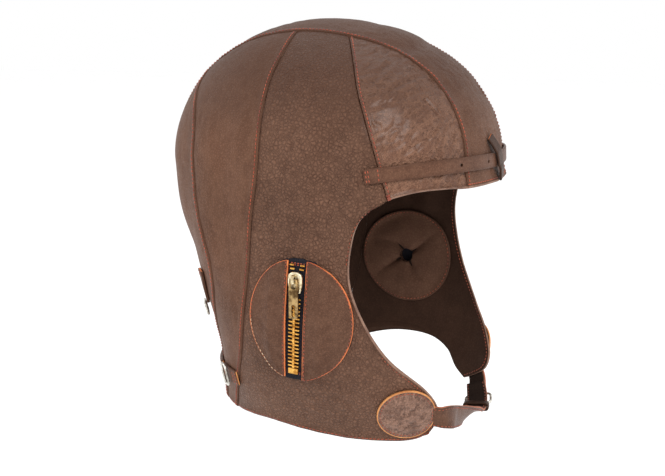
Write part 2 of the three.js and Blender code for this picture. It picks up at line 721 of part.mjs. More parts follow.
// The frames along a band's path: where it runs, its upper edge and its outer face
function pathFrames(path, rows) {
  const curve = new THREE.CatmullRomCurve3(
    path.map((row) => new THREE.Vector3(row.x, row.y, row.z)), false, 'centripetal');
  const width = new THREE.CatmullRomCurve3(
    path.map((row) => new THREE.Vector3(row.wx, row.wy, row.wz)), false, 'centripetal');
  return Array.from({ length: rows + 1 }, (_, j) => {
    const along = curve.getTangent(j / rows);
    const upper = width.getPoint(j / rows);
    upper.addScaledVector(along, -upper.dot(along)).normalize();
    return { centre: curve.getPoint(j / rows), along, upper, out: along.clone().cross(upper).normalize() };
  });
}

function bandAlong(frames, wide, low, high) {
  const edge = (frame, aside, out) => frame.centre.clone()
    .addScaledVector(frame.upper, aside * wide)
    .addScaledVector(frame.out, out);
  const face = (out) => frames.map((frame) => [-0.5, 0, 0.5].map((aside) => edge(frame, aside, out)));
  return closedBody(face(high), face(low));
}

// Chin strap: a flat band that turns over on its way to the left flap
const chinFrames = pathFrames(chinPath, chinStrap.rows);
add('chin_strap', bandAlong(chinFrames, chinStrap.wide, -chinStrap.thick / 2, chinStrap.thick / 2), 'leather');

function frameAt(target) {
  const gaps = chinFrames.map((frame) => frame.centre.distanceTo(vector(target)));
  return chinFrames[gaps.indexOf(Math.min(...gaps))];
}

function placed(geometry, frame, out = 0) {
  const basis = new THREE.Matrix4().makeBasis(frame.along, frame.upper, frame.out);
  geometry.applyMatrix4(basis);
  const at = frame.centre.clone().addScaledVector(frame.out, out);
  return geometry.translate(at.x, at.y, at.z);
}

// The short strap sewn to the left flap, which carries the buckle
const tabFrames = pathFrames(chinTabPath, chinTab.rows);
add('chin_tab', bandAlong(tabFrames, chinTab.wide, -chinTab.thick / 2, chinTab.thick / 2), 'leather');

// Leather loop round the strap
function strapLoop(long, wide, thick, leather) {
  const outer = roundedBox(wide + 2 * leather, thick + 2 * leather, leather);
  outer.holes.push(new THREE.Path(roundedBox(wide, thick, 0.3).getPoints(2).reverse()));
  const loop = new THREE.ExtrudeGeometry(outer, { depth: long, bevelEnabled: false, curveSegments: 2 });
  loop.translate(0, 0, -long / 2);
  loop.applyMatrix4(new THREE.Matrix4().makeBasis(
    new THREE.Vector3(0, 1, 0), new THREE.Vector3(0, 0, 1), new THREE.Vector3(1, 0, 0)));
  return loop;
}
add('chin_keeper', placed(strapLoop(
  chinKeeper.long, chinStrap.wide + 2 * fit, chinStrap.thick + 2 * chinKeeper.clear, chinKeeper.thick,
), frameAt(chinKeeper.at)), 'leather');

// A closed rounded rectangle of wire; its sides run along x and y
function wireFrame(long, wide, wire) {
  const path = roundedBox(long - wire, wide - wire, 2.4).getPoints(2).slice(0, -1);
  const sidesOfWire = 5;
  const rings = path.map((p, k) => {
    const before = path.at(k - 1);
    const after = path[(k + 1) % path.length];
    const away = new THREE.Vector2(after.y - before.y, before.x - after.x).normalize();
    return Array.from({ length: sidesOfWire }, (_, s) => {
      const angle = (2 * Math.PI * s) / sidesOfWire;
      const out = (Math.cos(angle) * wire) / 2;
      return new THREE.Vector3(p.x + away.x * out, p.y + away.y * out, (Math.sin(angle) * wire) / 2);
    });
  });
  const positions = rings.flat().flatMap((p) => [p.x, p.y, p.z]);
  const index = [];
  rings.forEach((_, k) => {
    const next = ((k + 1) % rings.length) * sidesOfWire;
    const here = k * sidesOfWire;
    for (let s = 0; s < sidesOfWire; s += 1) {
      const t = (s + 1) % sidesOfWire;
      index.push(here + s, next + s, next + t, here + s, next + t, here + t);
    }
  });
  const geometry = new THREE.BufferGeometry();
  geometry.setAttribute('position', new THREE.Float32BufferAttribute(positions, 3));
  geometry.setIndex(index);
  return volume(geometry) < 0 ? turned(geometry) : geometry;
}

// The buckle lies on the outer face of the strap, square to it
const buckleFrame = frameAt(chinBuckle.at);
const buckleLift = chinStrap.thick / 2 + 3 * fit + chinBuckle.wire / 2;
add('chin_buckle', placed(
  wireFrame(chinBuckle.long, chinBuckle.wide, chinBuckle.wire), buckleFrame, buckleLift), 'steel');

// Prong: a thin rod from the buckle's bar over the strap
const prong = new THREE.CylinderGeometry(0.6, 0.6, 8.4, 6);
prong.rotateZ(Math.PI / 2 + 0.5);
prong.rotateX(Math.PI / 2);
add('chin_prong', placed(prong, buckleFrame, buckleLift + chinBuckle.wire + 1.6), 'steel');

// Nape strap, from the left ear seam round the back to the buckle on the right
const napeLine = [nape.from, [-32, 62, nape.z], [0, 64, nape.z], [32, 61, nape.z], [60, 46, -204], [75, 26, -200]];
const napeCurve = new THREE.CatmullRomCurve3(napeLine.map(vector), false, 'centripetal');
add('nape_strap', onLeather(
  bandCells(napeCurve, nape.wide, 24, 2), lay, lay + strapLeather), 'leather');
const napeTabCurve = new THREE.LineCurve3(vector(nape.tabFrom), vector([-63.4, 42, nape.z]));
add('nape_tab', onLeather(bandCells(napeTabCurve, nape.wide, 5, 2), lay, lay + thinLeather), 'leather');

function onLeatherFrame(place, lift) {
  const centre = onSkin(vector(place), lift);
  const out = outward(onForm(vector(place)));
  const along = new THREE.Vector3(0, 0, 1).cross(out).normalize();
  return { centre, along, upper: out.clone().cross(along), out };
}
add('nape_buckle', placed(
  wireFrame(napeBuckle.long, napeBuckle.wide, napeBuckle.wire),
  onLeatherFrame(napeBuckle.at, napeBuckle.lift),
), 'steel');

// Keeper tab and buckle behind each rear seam
for (const { name, sign } of sides) {
  const across = ([x, y, z]) => new THREE.Vector3(sign * x, y, z);
  const line = new THREE.LineCurve3(across(rearKeeper.top), across(rearKeeper.bottom));
  add(`rear_keeper_${name}`, onLeather(
    bandCells(line, rearKeeper.wide, 5, 2), lay, lay + thinLeather), 'leather');
  const [x, y, z] = rearBuckle.at;
  add(`rear_buckle_${name}`, placed(
    wireFrame(rearBuckle.wide, rearBuckle.long, rearBuckle.wire),
    onLeatherFrame([sign * x, y, z], rearBuckle.lift),
  ), 'steel');
}

export default helmet;
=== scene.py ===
import json
import math
from types import SimpleNamespace

import bmesh
import bpy
import numpy as np
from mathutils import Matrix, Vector

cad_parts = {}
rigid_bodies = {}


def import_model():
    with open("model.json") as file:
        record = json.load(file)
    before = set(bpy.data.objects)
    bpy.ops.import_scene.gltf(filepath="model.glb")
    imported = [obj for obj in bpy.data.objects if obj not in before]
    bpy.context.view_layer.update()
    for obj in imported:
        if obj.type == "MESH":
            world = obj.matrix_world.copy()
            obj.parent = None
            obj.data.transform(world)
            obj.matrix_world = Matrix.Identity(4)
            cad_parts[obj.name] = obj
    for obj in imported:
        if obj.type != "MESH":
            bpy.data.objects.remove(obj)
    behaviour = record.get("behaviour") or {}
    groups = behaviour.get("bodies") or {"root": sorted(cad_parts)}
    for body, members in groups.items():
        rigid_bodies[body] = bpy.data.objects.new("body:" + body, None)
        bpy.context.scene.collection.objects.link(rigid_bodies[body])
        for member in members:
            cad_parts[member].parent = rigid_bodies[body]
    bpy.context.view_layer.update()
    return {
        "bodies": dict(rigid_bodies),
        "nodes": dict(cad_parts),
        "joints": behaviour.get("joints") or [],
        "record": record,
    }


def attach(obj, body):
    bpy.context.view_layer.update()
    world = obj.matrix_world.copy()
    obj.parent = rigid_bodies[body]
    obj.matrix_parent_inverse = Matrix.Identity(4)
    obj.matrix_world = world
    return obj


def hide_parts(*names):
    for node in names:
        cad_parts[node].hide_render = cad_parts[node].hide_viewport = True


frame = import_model()
print("frame loaded")

mm = 0.001
random = np.random.default_rng(20)

# Leather flying helmet. Everything is worked out in millimetres, +Z up, the
# face looks along -Y, and the origin is the inside of the crown.
leather = {"wall": 1.8, "thin": 1.4, "strap": 1.8, "fit": 0.3, "lay": 0.55}
sides = {"right": -1, "left": 1}


# vectors and smooth steps
def unit(v):
    return v / np.maximum(np.linalg.norm(v, axis=-1, keepdims=True), 1e-9)


def smooth(low, high, x):
    t = np.clip((x - low) / (high - low), 0, 1)
    return t * t * (3 - 2 * t)


def mix(a, b, t):
    return a + (b - a) * t


def bell(x, wide):
    return np.exp(-((x / wide) ** 2))


lattice = random.random((48, 48, 48))


# soft noise from 0 to 1, with hills about "size" millimetres wide
def noise(points, size, shift=0):
    q = points / size + shift * 7.31 + 900
    cell = np.floor(q).astype(int)
    f = q - cell
    f = f * f * (3 - 2 * f)
    total = 0
    for corner in np.ndindex(2, 2, 2):
        share = np.prod(np.where(corner, f, 1 - f), axis=-1)
        at = (cell + corner) % len(lattice)
        total = total + share * lattice[at[..., 0], at[..., 1], at[..., 2]]
    return total


# a smooth line through points, read by the share of its length
def lineThrough(points, steps=40):
    p = np.asarray(points, float)
    ends = np.vstack([2 * p[0] - p[1], p, 2 * p[-1] - p[-2]])
    t = np.linspace(0, 1, steps, endpoint=False)[:, None]
    pieces = []
    for a, b, c, d in zip(ends, ends[1:], ends[2:], ends[3:]):
        s0, s1, s2 = (max(np.linalg.norm(v), 1e-6) ** 0.5 for v in (b - a, c - b, d - c))
        m1 = ((b - a) / s0 - (c - a) / (s0 + s1) + (c - b) / s1) * s1
        m2 = ((c - b) / s1 - (d - b) / (s1 + s2) + (d - c) / s2) * s1
        pieces.append(
            (2 * t**3 - 3 * t**2 + 1) * b + (t**3 - 2 * t**2 + t) * m1
            + (3 * t**2 - 2 * t**3) * c + (t**3 - t**2) * m2
        )
    line = np.vstack(pieces + [p[-1:]])
    run = np.concatenate([[0], np.cumsum(np.linalg.norm(np.diff(line, axis=0), axis=1))])

    def at(share):
        far = np.asarray(share, float) * run[-1]
        return np.stack([np.interp(far, run, line[:, k]) for k in range(3)], -1)

    at.length = run[-1]
    at.points = line
    return at


def nearest(line, target):
    shares = np.linspace(0, 1, 601)
    return shares[np.argmin(np.linalg.norm(line(shares) - target, axis=1))]


# The head form: horizontal sections, with the half width, the reach to the
# front and to the back, and how square each section is (2 is an ellipse)
form = {
    "z": [-239, -197, -155, -113, -81],
    "half": [67, 81.5, 86.5, 86, 85],
    "front": [112, 112, 109, 110, 104],
    "back": [69, 62, 72, 89.5, 96.5],
    "square": [2.0, 2.25, 2.4, 2.45, 2.3],
    "equator": -81,
    "crownRise": 82.8,
    "hub": -112,
}


# a smooth monotone curve through one row of the head form
def formRow(name):
    z = np.array(form["z"], float)
    value = np.array(form[name], float)
    steps = np.diff(value) / np.diff(z)
    below = np.concatenate([steps[:1], steps])
    above = np.concatenate([steps, steps[-1:]])
    both = below + above
    slope = np.where(below * above <= 0, 0, 2 * below * above / np.where(both == 0, 1, both))

    def at(height):
        h = np.clip(height, z[0], z[-1])
        i = np.clip(np.searchsorted(z, h, side="right") - 1, 0, len(z) - 2)
        span = z[i + 1] - z[i]
        t = (h - z[i]) / span
        a = value[i] * (1 + 2 * t) * (1 - t) ** 2 + value[i + 1] * t * t * (3 - 2 * t)
        return a + span * t * (1 - t) * (slope[i] * (1 - t) - slope[i + 1] * t)

    return at


half, front, back, square = (formRow(name) for name in ("half", "front", "back", "square"))


def formValue(p):
    x, y, z = p[..., 0], p[..., 1], p[..., 2]
    n = square(z)
    reach = np.where(y < 0, front(z), back(z))
    plan = (np.abs(x) / half(z)) ** n + (np.abs(y) / reach) ** n
    return plan ** (2 / n) + (np.maximum(0, z - form["equator"]) / form["crownRise"]) ** 2 - 1


# the point of the form on the line from its centre through p
def onForm(p):
    p = np.asarray(p, float)
    hub = np.zeros_like(p)
    hub[..., 2] = np.minimum(p[..., 2], form["hub"])
    away = p - hub
    low = np.full(p.shape[:-1], 0.2)
    high = np.full(p.shape[:-1], 3.0)
    for _ in range(26):
        mid = (low + high) / 2
        inside = formValue(hub + away * mid[..., None]) < 0
        low = np.where(inside, mid, low)
        high = np.where(inside, high, mid)
    return hub + away * low[..., None]


def outward(p):
    step = 0.4
    grow = [formValue(p + step * axis) - formValue(p - step * axis) for axis in np.eye(3)]
    return unit(np.stack(grow, -1))


# Soft folds of the whole shell: in side view from (y0, z0) to (y1, z1), with
# the width and the depth that the leather sinks
folds = [
    ("strip", -58, -16, -58, -16, 6, 2.2),
    ("strip", -84, -42, -84, -42, 7, 2.4),
    ("strip", -26, -6, -26, -6, 9, 1.0),
    ("strip", 60, -22, 60, -22, 10, 1.4),
    ("side", -36, -62, -33, -122, 9, 2.2),
    ("side", 32, -60, 30, -130, 10, 1.6),
    ("side", 64, -66, 62, -130, 9, 1.4),
]
stripHalf = 34


def foldDepth(p):
    onSide = smooth(stripHalf, stripHalf + 14, np.abs(p[..., 0]))
    onStrip = 1 - smooth(stripHalf * 0.6, stripHalf, np.abs(p[..., 0]))
    total = 0
    for place, y0, z0, y1, z1, width, depth in folds:
        ay, az = y1 - y0, z1 - z0
        along = ((p[..., 1] - y0) * ay + (p[..., 2] - z0) * az) / max(1, ay * ay + az * az)
        t = np.clip(along, 0, 1)
        gap = np.hypot(p[..., 1] - y0 - t * ay, p[..., 2] - z0 - t * az)
        share = onStrip if place == "strip" else onSide
        total = total + share * depth * bell(gap, width)
    return total


# a point of the leather, its normal, and the point lifted off it
def onSkin(p, lift=0):
    base = onForm(p)
    out = outward(base)
    return base + out * (lift - foldDepth(base))[..., None], out


# Sharp creases in the leather: the points they run through on the right side,
# how wide and how deep they are
creases = [
    ([(-66, -72, -71), (-57, -80, -63), (-48, -85, -57), (-44, -87, -54)], 1.5, 0.8),
    ([(-47, -75, -40), (-46, -80, -45), (-44, -87, -53)], 1.5, 0.75),
    ([(-63, -48, -37), (-55, -53, -30), (-32, -55, -16)], 1.3, 0.4),
    ([(-57, -50, -31), (-46, -55, -24), (-30, -60, -18)], 1.6, 0.5),
    ([(-65, -57, -46), (-57, -66, -42), (-49, -72, -39), (-40, -77, -36)], 1.4, 0.55),
    ([(-69, -52, -47), (-63, -59, -44), (-55, -62, -36), (-47, -67, -32), (-34, -73, -28)], 1.3, 0.5),
    ([(-58, -60, -38), (-50, -65, -34), (-36, -72, -29)], 1.2, 0.45),
    ([(-60, -70, -51), (-54, -75, -49), (-47, -79, -45)], 1.2, 0.45),
    ([(-70, -55, -54), (-68, -61, -56)], 1.2, 0.3),
    ([(-54, -85, -68), (-45, -88, -58), (-39, -90, -54)], 1.3, 0.5),
    ([(-60, -43, -30), (-52, -53, -27)], 1.2, 0.35),
    ([(-44, -87, -55), (-40, -89, -55), (-36, -92, -55)], 1.2, 0.4),
    ([(-55, -19, -19), (-67, -21, -32), (-75, -23, -45)], 2.2, 0.35),
    ([(-60, -8, -23), (-72, -9, -38), (-80, -11, -53)], 2.0, 0.3),
    ([(-83, -37, -109), (-82, -43, -104), (-80, -49, -101)], 1.6, 0.35),
    ([(-86, -8, -114), (-86, -1, -123), (-86, 6, -133)], 1.8, 0.25),
    ([(-76, -34, -208), (-73, -42, -212), (-68, -49, -220)], 1.6, 0.35),
    ([(-77, -15, -214), (-74, -25, -219), (-68, -34, -229)], 1.6, 0.3),
    ([(-76, -49, -194), (-73, -55, -202), (-69, -59, -208)], 1.5, 0.3),
]


def creaseDepth(p):
    q = p * [-1, 1, 1] if p[..., 0].mean() > 0 else p
    total = np.zeros(p.shape[:-1])
    for points, width, depth in creases:
        line = lineThrough(points)(np.linspace(0, 1, 14))
        low = line.min(0) - 6 * width
        high = line.max(0) + 6 * width
        near = np.all((q > low) & (q < high), axis=-1)
        if not near.any():
            continue
        here = q[near]
        gap = np.full(len(here), 1e9)
        share = np.zeros(len(here))
        for k, (a, b) in enumerate(zip(line, line[1:])):
            t = np.clip((here - a) @ (b - a) / ((b - a) @ (b - a)), 0, 1)
            d = np.linalg.norm(here - a - t[:, None] * (b - a), axis=1)
            share = np.where(d < gap, (k + t) / (len(line) - 1), share)
            gap = np.minimum(gap, d)
        fade = smooth(0, 0.2, share) * smooth(1, 0.8, share)
        lips = 0.35 * bell(gap - 2.1 * width, 1.1 * width)
        total[near] += depth * fade * (bell(gap, width) - lips)
    return total


# Seams and edges of the right side, x measured outwards
seams = {
    "strip": [
        (36, -98, -91.5), (34, -93, -55), (32, -79, -34), (33, -56, -16), (36, -27, -9),
        (35, 6, -6), (34, 40, -13), (34, 66, -28), (35, 86, -55), (35, 93, -85),
        (34, 84, -120), (32, 70, -155), (31, 61, -195), (30, 66, -229),
    ],
    "temple": [
        (36, -27, -9), (53, -37, -22), (65, -45, -37), (71, -52, -52), (73, -58, -69),
        (73, -62, -81), (72, -66, -95),
    ],
    "brow": [
        (0, -104, -92), (36, -98, -91.5), (47, -93, -90.5), (61, -81, -91), (68, -72, -93),
        (72, -66, -95),
    ],
    "ear": [
        (35, 6, -6), (53, 5, -16), (67, 6, -30), (76, 6, -43), (85, 6, -75), (86, 10, -109),
        (86, 13, -144), (80, 21, -188), (70, 29, -212), (61, 37, -231),
    ],
    "rear": [
        (34, 66, -28), (50, 65, -38), (61, 60, -47), (71, 56, -61), (74, 55, -85),
        (77, 49, -115), (78, 43, -139), (75, 42, -157), (66, 46, -180), (56, 50, -205),
        (54, 52, -230),
    ],
}
faceEdges = {
    "right": [
        (72, -66, -95), (75, -62, -97), (79, -53, -106), (81, -49, -120), (81, -48, -140),
        (79, -55, -161), (71, -67, -184), (56, -85, -205), (50, -89, -214), (47.5, -89.5, -220),
        (46.5, -87.5, -228), (47.5, -83, -234.5),
    ],
    "left": [
        (72, -66, -95), (76, -60, -99), (78, -56, -111), (79, -55, -128), (76, -62, -158),
        (67, -75, -183), (53, -88, -205), (48, -91, -214), (47, -89, -222), (51, -81, -229),
        (54, -74, -233),
    ],
}
hems = {
    "right": [
        (47.5, -83, -234.5), (50.5, -75, -238), (58, -57, -239), (64, -35, -238), (69, -11, -235),
        (69, 8, -232), (66, 28, -232), (60, 37, -232), (48, 52, -231), (30, 66, -229),
        (0, 68, -228),
    ],
    "left": [
        (54, -74, -233), (60, -66, -228), (67, -55, -217), (73, -45, -211), (76, -32, -208),
        (78, -10, -207), (77, 11, -210), (70, 30, -215), (55, 48, -221), (30, 66, -227),
        (0, 68, -228),
    ],
}

# cells of each stretch of seam, about 1.3 mm each
fine = {
    "crown": 108, "face": 98, "temple": 100, "side": 84, "rearSide": 56, "rear": 44, "strip": 52,
}


def mirrored(points, sign):
    return np.array(points, float) * [sign, 1, 1]


def edgesOf(name, sign):
    strip, temple, brow, ear, rear, face, hem = (
        lineThrough(mirrored(points, sign))
        for points in (seams["strip"], seams["temple"], seams["brow"], seams["ear"],
                       seams["rear"], faceEdges[name], hems[name])
    )
    at = lambda row: mirrored(row, sign)
    mid, templeTop = nearest(strip, at(seams["strip"][2])), nearest(strip, at(seams["temple"][0]))
    earTop, rearTop = nearest(strip, at(seams["ear"][0])), nearest(strip, at(seams["rear"][0]))
    earFoot, rearFoot = nearest(hem, at(seams["ear"][-1])), nearest(hem, at(seams["rear"][-1]))
    stripFoot = nearest(hem, at(seams["strip"][-1]))
    stripAtBrow = nearest(brow, at(seams["strip"][0]))
    rows = fine["crown"] + fine["face"]

    def stretch(line, start, stop, count):
        return onForm(line(np.linspace(start, stop, count + 1)))

    e = {
        "browToMid": stretch(strip, 0, mid, fine["crown"]),
        "midToTemple": stretch(strip, mid, templeTop, fine["temple"]),
        "templeToEar": stretch(strip, templeTop, earTop, fine["side"]),
        "earToRear": stretch(strip, earTop, rearTop, fine["rearSide"]),
        "rearToHem": stretch(strip, rearTop, 1, rows),
        "temple": stretch(temple, 0, 1, fine["crown"]),
        "face": stretch(face, 0, 1, fine["face"]),
        "ear": stretch(ear, 0, 1, rows),
        "rear": stretch(rear, 0, 1, rows),
        "hemSide": stretch(hem, 0, earFoot, fine["side"]),
        "hemRearSide": stretch(hem, earFoot, rearFoot, fine["rearSide"]),
        "hemRear": stretch(hem, rearFoot, stripFoot, fine["rear"]),
        "hemStrip": stretch(hem, stripFoot, 1, fine["strip"] // 2),
        "browStrip": stretch(brow, 0, stripAtBrow, fine["strip"] // 2),
        "browTemple": stretch(brow, stripAtBrow, 1, fine["temple"]),
    }
    corners = [
        ("browToMid", -1, ("midToTemple", 0)),
        ("midToTemple", -1, ("temple", 0), ("templeToEar", 0)),
        ("templeToEar", -1, ("ear", 0), ("earToRear", 0)),
        ("earToRear", -1, ("rear", 0), ("rearToHem", 0)),
        ("browToMid", 0, ("browTemple", 0), ("browStrip", -1)),
        ("temple", -1, ("browTemple", -1), ("face", 0)),
        ("face", -1, ("hemSide", 0)),
        ("hemSide", -1, ("ear", -1), ("hemRearSide", 0)),
        ("hemRearSide", -1, ("rear", -1), ("hemRear", 0)),
        ("hemRear", -1, ("rearToHem", -1), ("hemStrip", 0)),
    ]
    for source, i, *others in corners:
        for other, j in others:
            e[other][j] = e[source][i]
    return e


# grid lines at even cells, with a few closer ones along both rims
def gridLines(count, close=(0, 0.14, 0.32, 0.6)):
    inner = np.arange(1, count)
    return np.concatenate([close, inner, count - np.array(close[::-1])])


def alongEdge(edge, lines):
    steps = np.arange(len(edge))
    return np.stack([np.interp(lines, steps, edge[:, k]) for k in range(3)], -1)


# a grid spanned between four edges, laid on the form
def spanned(top, bottom, left, right, gap=0.06):
    us, vs = gridLines(len(top) - 1), gridLines(len(left) - 1)
    u, v = (us / us[-1])[None, :, None], (vs / vs[-1])[:, None, None]
    t, b = alongEdge(top, us)[None], alongEdge(bottom, us)[None]
    l, r = alongEdge(left, vs)[:, None], alongEdge(right, vs)[:, None]
    p = l * (1 - u) + r * u + t * (1 - v) + b * v
    p = p - top[0] * (1 - u) * (1 - v) - top[-1] * u * (1 - v)
    p = p - bottom[0] * (1 - u) * v - bottom[-1] * u * v
    p = onForm(p)
    p[:, 0] += unit(p[:, 2] - p[:, 0]) * gap
    p[:, -1] += unit(p[:, -3] - p[:, -1]) * gap
    p[0] += unit(p[2] - p[0]) * gap
    p[-1] += unit(p[-3] - p[-1]) * gap
    return p


# distances in millimetres to the four rims of a grid, along its lines
def rimRuns(grid):
    across = np.linalg.norm(np.diff(grid, axis=1), axis=-1)
    down = np.linalg.norm(np.diff(grid, axis=0), axis=-1)
    left = np.concatenate([np.zeros((len(grid), 1)), np.cumsum(across, axis=1)], axis=1)
    top = np.concatenate([np.zeros((1, grid.shape[1])), np.cumsum(down, axis=0)], axis=0)
    return {"left": left, "right": left[:, -1:] - left, "top": top, "bottom": top[-1:] - top}


# how far a rounded rim falls away at s from it
def rounding(s, radius):
    return radius * (1 - np.sqrt(np.clip(1 - np.clip(1 - s / radius, 0, 1) ** 2, 0, 1)))


# a piece stands for a node of the solids
def standFor(node):
    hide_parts(node)


def newObject(name, vertices, faces, materials, faceMaterials=None, attributes=None, body="helmet"):
    mesh = bpy.data.meshes.new(name)
    mesh.from_pydata((np.asarray(vertices) * mm).tolist(), [], faces)
    for material in materials:
        mesh.materials.append(material)
    if faceMaterials is not None:
        mesh.polygons.foreach_set("material_index", np.asarray(faceMaterials, np.int32))
    for key, values in (attributes or {}).items():
        mesh.attributes.new(key, "FLOAT", "POINT").data.foreach_set("value", np.asarray(values, np.float32))
    work = bmesh.new()
    work.from_mesh(mesh)
    bmesh.ops.remove_doubles(work, verts=work.verts, dist=2e-6)
    bmesh.ops.dissolve_degenerate(work, edges=work.edges, dist=1e-7)
    bmesh.ops.recalc_face_normals(work, faces=work.faces)
    if work.calc_volume(signed=True) < 0:
        bmesh.ops.reverse_faces(work, faces=work.faces)
    work.to_mesh(mesh)
    work.free()
    mesh.polygons.foreach_set("use_smooth", np.ones(len(mesh.polygons), bool))
    made = bpy.data.objects.new(name, mesh)
    bpy.context.scene.collection.objects.link(made)
    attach(made, body)
    return made


# cells of a grid that lie closer than "wide" to a rim
def rimCells(distance, wide):
    return np.maximum(distance[:-1, :-1], distance[1:, 1:]) < wide


# a closed leather body between two like grids: face, back and rim walls;
# marked cells of the face have the material of the rim
def sheetBody(name, outer, inner, materials, rim, closed, marked):
    rows, columns = outer.shape[:2]
    count = rows * columns
    ids = np.arange(count).reshape(rows, columns)
    quads = np.stack([ids[:-1, :-1], ids[1:, :-1], ids[1:, 1:], ids[:-1, 1:]], -1)
    face, reverse = quads.reshape(-1, 4), quads[..., ::-1].reshape(-1, 4) + count
    around = np.concatenate([ids[0], ids[1:, -1], ids[-1, -2::-1], ids[-2:0:-1, 0], ids[:1, 0]])
    loops = [ids[0], ids[-1][::-1]] if closed else [around]
    walls = np.concatenate([
        np.stack([loop[:-1], loop[1:], loop[1:] + count, loop[:-1] + count], -1) for loop in loops])
    kinds = np.zeros((rows - 1, columns - 1), int)
    if marked is not None:
        kinds[marked] = 2
    index = np.concatenate([kinds.ravel(), np.ones(len(reverse), int), np.full(len(walls), 2)])
    vertices = np.concatenate([outer.reshape(-1, 3), inner.reshape(-1, 3)])
    faces = np.concatenate([face, reverse, walls]).tolist()
    return newObject(name, vertices, faces, materials, index, {"rim": np.tile(np.ravel(rim), 2)})


# a sheet between two heights over its base; looks are those of face, back and rim
def addSheet(name, node, base, high, low, looks, rim, closed=False, marked=None):
    normal = outward(base)
    outer, inner = (base + normal * height[..., None] for height in (high, low))
    materials = [finishes[look] for look in looks]
    made = sheetBody(name, outer, inner, materials, rim, closed, marked)
    standFor(node)
    return SimpleNamespace(outer=outer, inner=inner, normal=normal, runs=rimRuns(base), piece=made)


# The camera stands where the photographer stood
camera = {
    "target": (0, 0, -134.3), "azimuth": -65, "elevation": 11.5, "distance": 651,
    "lens": 55.76, "sensor": 36,
}


def placeCamera(s):
    a, e = math.radians(s["azimuth"]), math.radians(s["elevation"])
    away = Vector((math.sin(a) * math.cos(e), -math.cos(a) * math.cos(e), math.sin(e)))
    target = Vector(s["target"]) * mm
    made = bpy.data.objects.new("camera", bpy.data.cameras.new("camera"))
    made.data.lens = s["lens"]
    made.data.sensor_width = s["sensor"]
    made.data.sensor_fit = "HORIZONTAL"
    made.data.clip_start = 0.01
    made.location = target + away * s["distance"] * mm
    made.rotation_euler = (-away).to_track_quat("-Z", "Y").to_euler()
    bpy.context.scene.collection.objects.link(made)
    bpy.context.scene.camera = made


placeCamera(camera)


# Colours are given as they look, from 0 to 255
def colour(red, green, blue):
    plain = [c / 255 for c in (red, green, blue)]
    return tuple(c / 12.92 if c <= 0.04045 else ((c + 0.055) / 1.055) ** 2.4 for c in plain) + (1,)


# one output of a node, so that shader maths reads as sums
class Wire:
    def __init__(self, finish, socket):
        self.finish = finish
        self.socket = socket

    def math(self, operation, *others):
        values = dict(enumerate((self, *others)))
        return self.finish.node("ShaderNodeMath", {"operation": operation}, values)

    def __add__(self, other):
        return self.math("ADD", other)

    def __sub__(self, other):
        return self.math("SUBTRACT", other)

    def __rsub__(self, other):
        return self.finish.node("ShaderNodeMath", {"operation": "SUBTRACT"}, {0: other, 1: self})

    def __mul__(self, other):
        return self.math("MULTIPLY", other)

    __radd__ = __add__
    __rmul__ = __mul__

    def within(self, low, high):
        return self.finish.node(
            "ShaderNodeMapRange", {"interpolation_type": "SMOOTHSTEP"}, {0: self, 1: low, 2: high})


class Finish:
    def __init__(self, name, **sockets):
        self.material = bpy.data.materials.new(name)
        self.material.use_nodes = True
        self.tree = self.material.node_tree
        self.shader = self.tree.nodes["Principled BSDF"]
        self.give(**sockets)

    # sockets of the shader, written as baseColor for Base Color
    def give(self, **sockets):
        plain = {s.name.replace(" ", "").lower(): s for s in self.shader.inputs}
        for key, value in sockets.items():
            self.feed(plain[key.lower()], value)

    def feed(self, socket, value):
        if isinstance(value, Wire):
            self.tree.links.new(value.socket, socket)
        else:
            socket.default_value = value

    def node(self, kind, settings, sockets, output=0):
        made = self.tree.nodes.new(kind)
        for key, value in settings.items():
            setattr(made, key, value)
        for key, value in sockets.items():
            self.feed(made.inputs[key], value)
        return Wire(self, made.outputs[output])

    def place(self):
        return self.node("ShaderNodeTexCoord", {}, {}, "Object")

    # noise with hills about "size" millimetres wide
    def clouds(self, place, size, detail=2, roughness=0.5, output=0):
        sockets = {"Vector": place, "Scale": 1 / (size * mm), "Detail": detail, "Roughness": roughness}
        return self.node("ShaderNodeTexNoise", {}, sockets, output)

    # distance to the edge of cells about "size" millimetres wide
    def cells(self, place, size):
        settings = {"feature": "DISTANCE_TO_EDGE"}
        return self.node("ShaderNodeTexVoronoi", settings, {"Vector": place, "Scale": 1 / (size * mm)})

    # the place as patterns see it when they are drawn out along turned axes
    def stretched(self, place, scale, turn=(0, 0, 0)):
        settings = {"vector_type": "TEXTURE"}
        return self.node("ShaderNodeMapping", settings, {"Vector": place, "Scale": scale, "Rotation": turn})

    def wandering(self, place, size, far):
        drift = self.clouds(place, size, output="Color")
        settings = {"operation": "MULTIPLY_ADD"}
        return self.node("ShaderNodeVectorMath", settings, {0: drift, 1: (far * mm,) * 3, 2: place})

    def blended(self, share, first, second, how="MIX"):
        settings = {"data_type": "RGBA", "blend_type": how}
        return self.node("ShaderNodeMix", settings, {0: share, 6: first, 7: second}, 2)

    def attribute(self, name):
        return self.node("ShaderNodeAttribute", {"attribute_name": name}, {}, "Fac")

    # height is in millimetres
    def bumped(self, height, strength):
        return self.node("ShaderNodeBump", {}, {"Height": height, "Distance": mm, "Strength": strength})


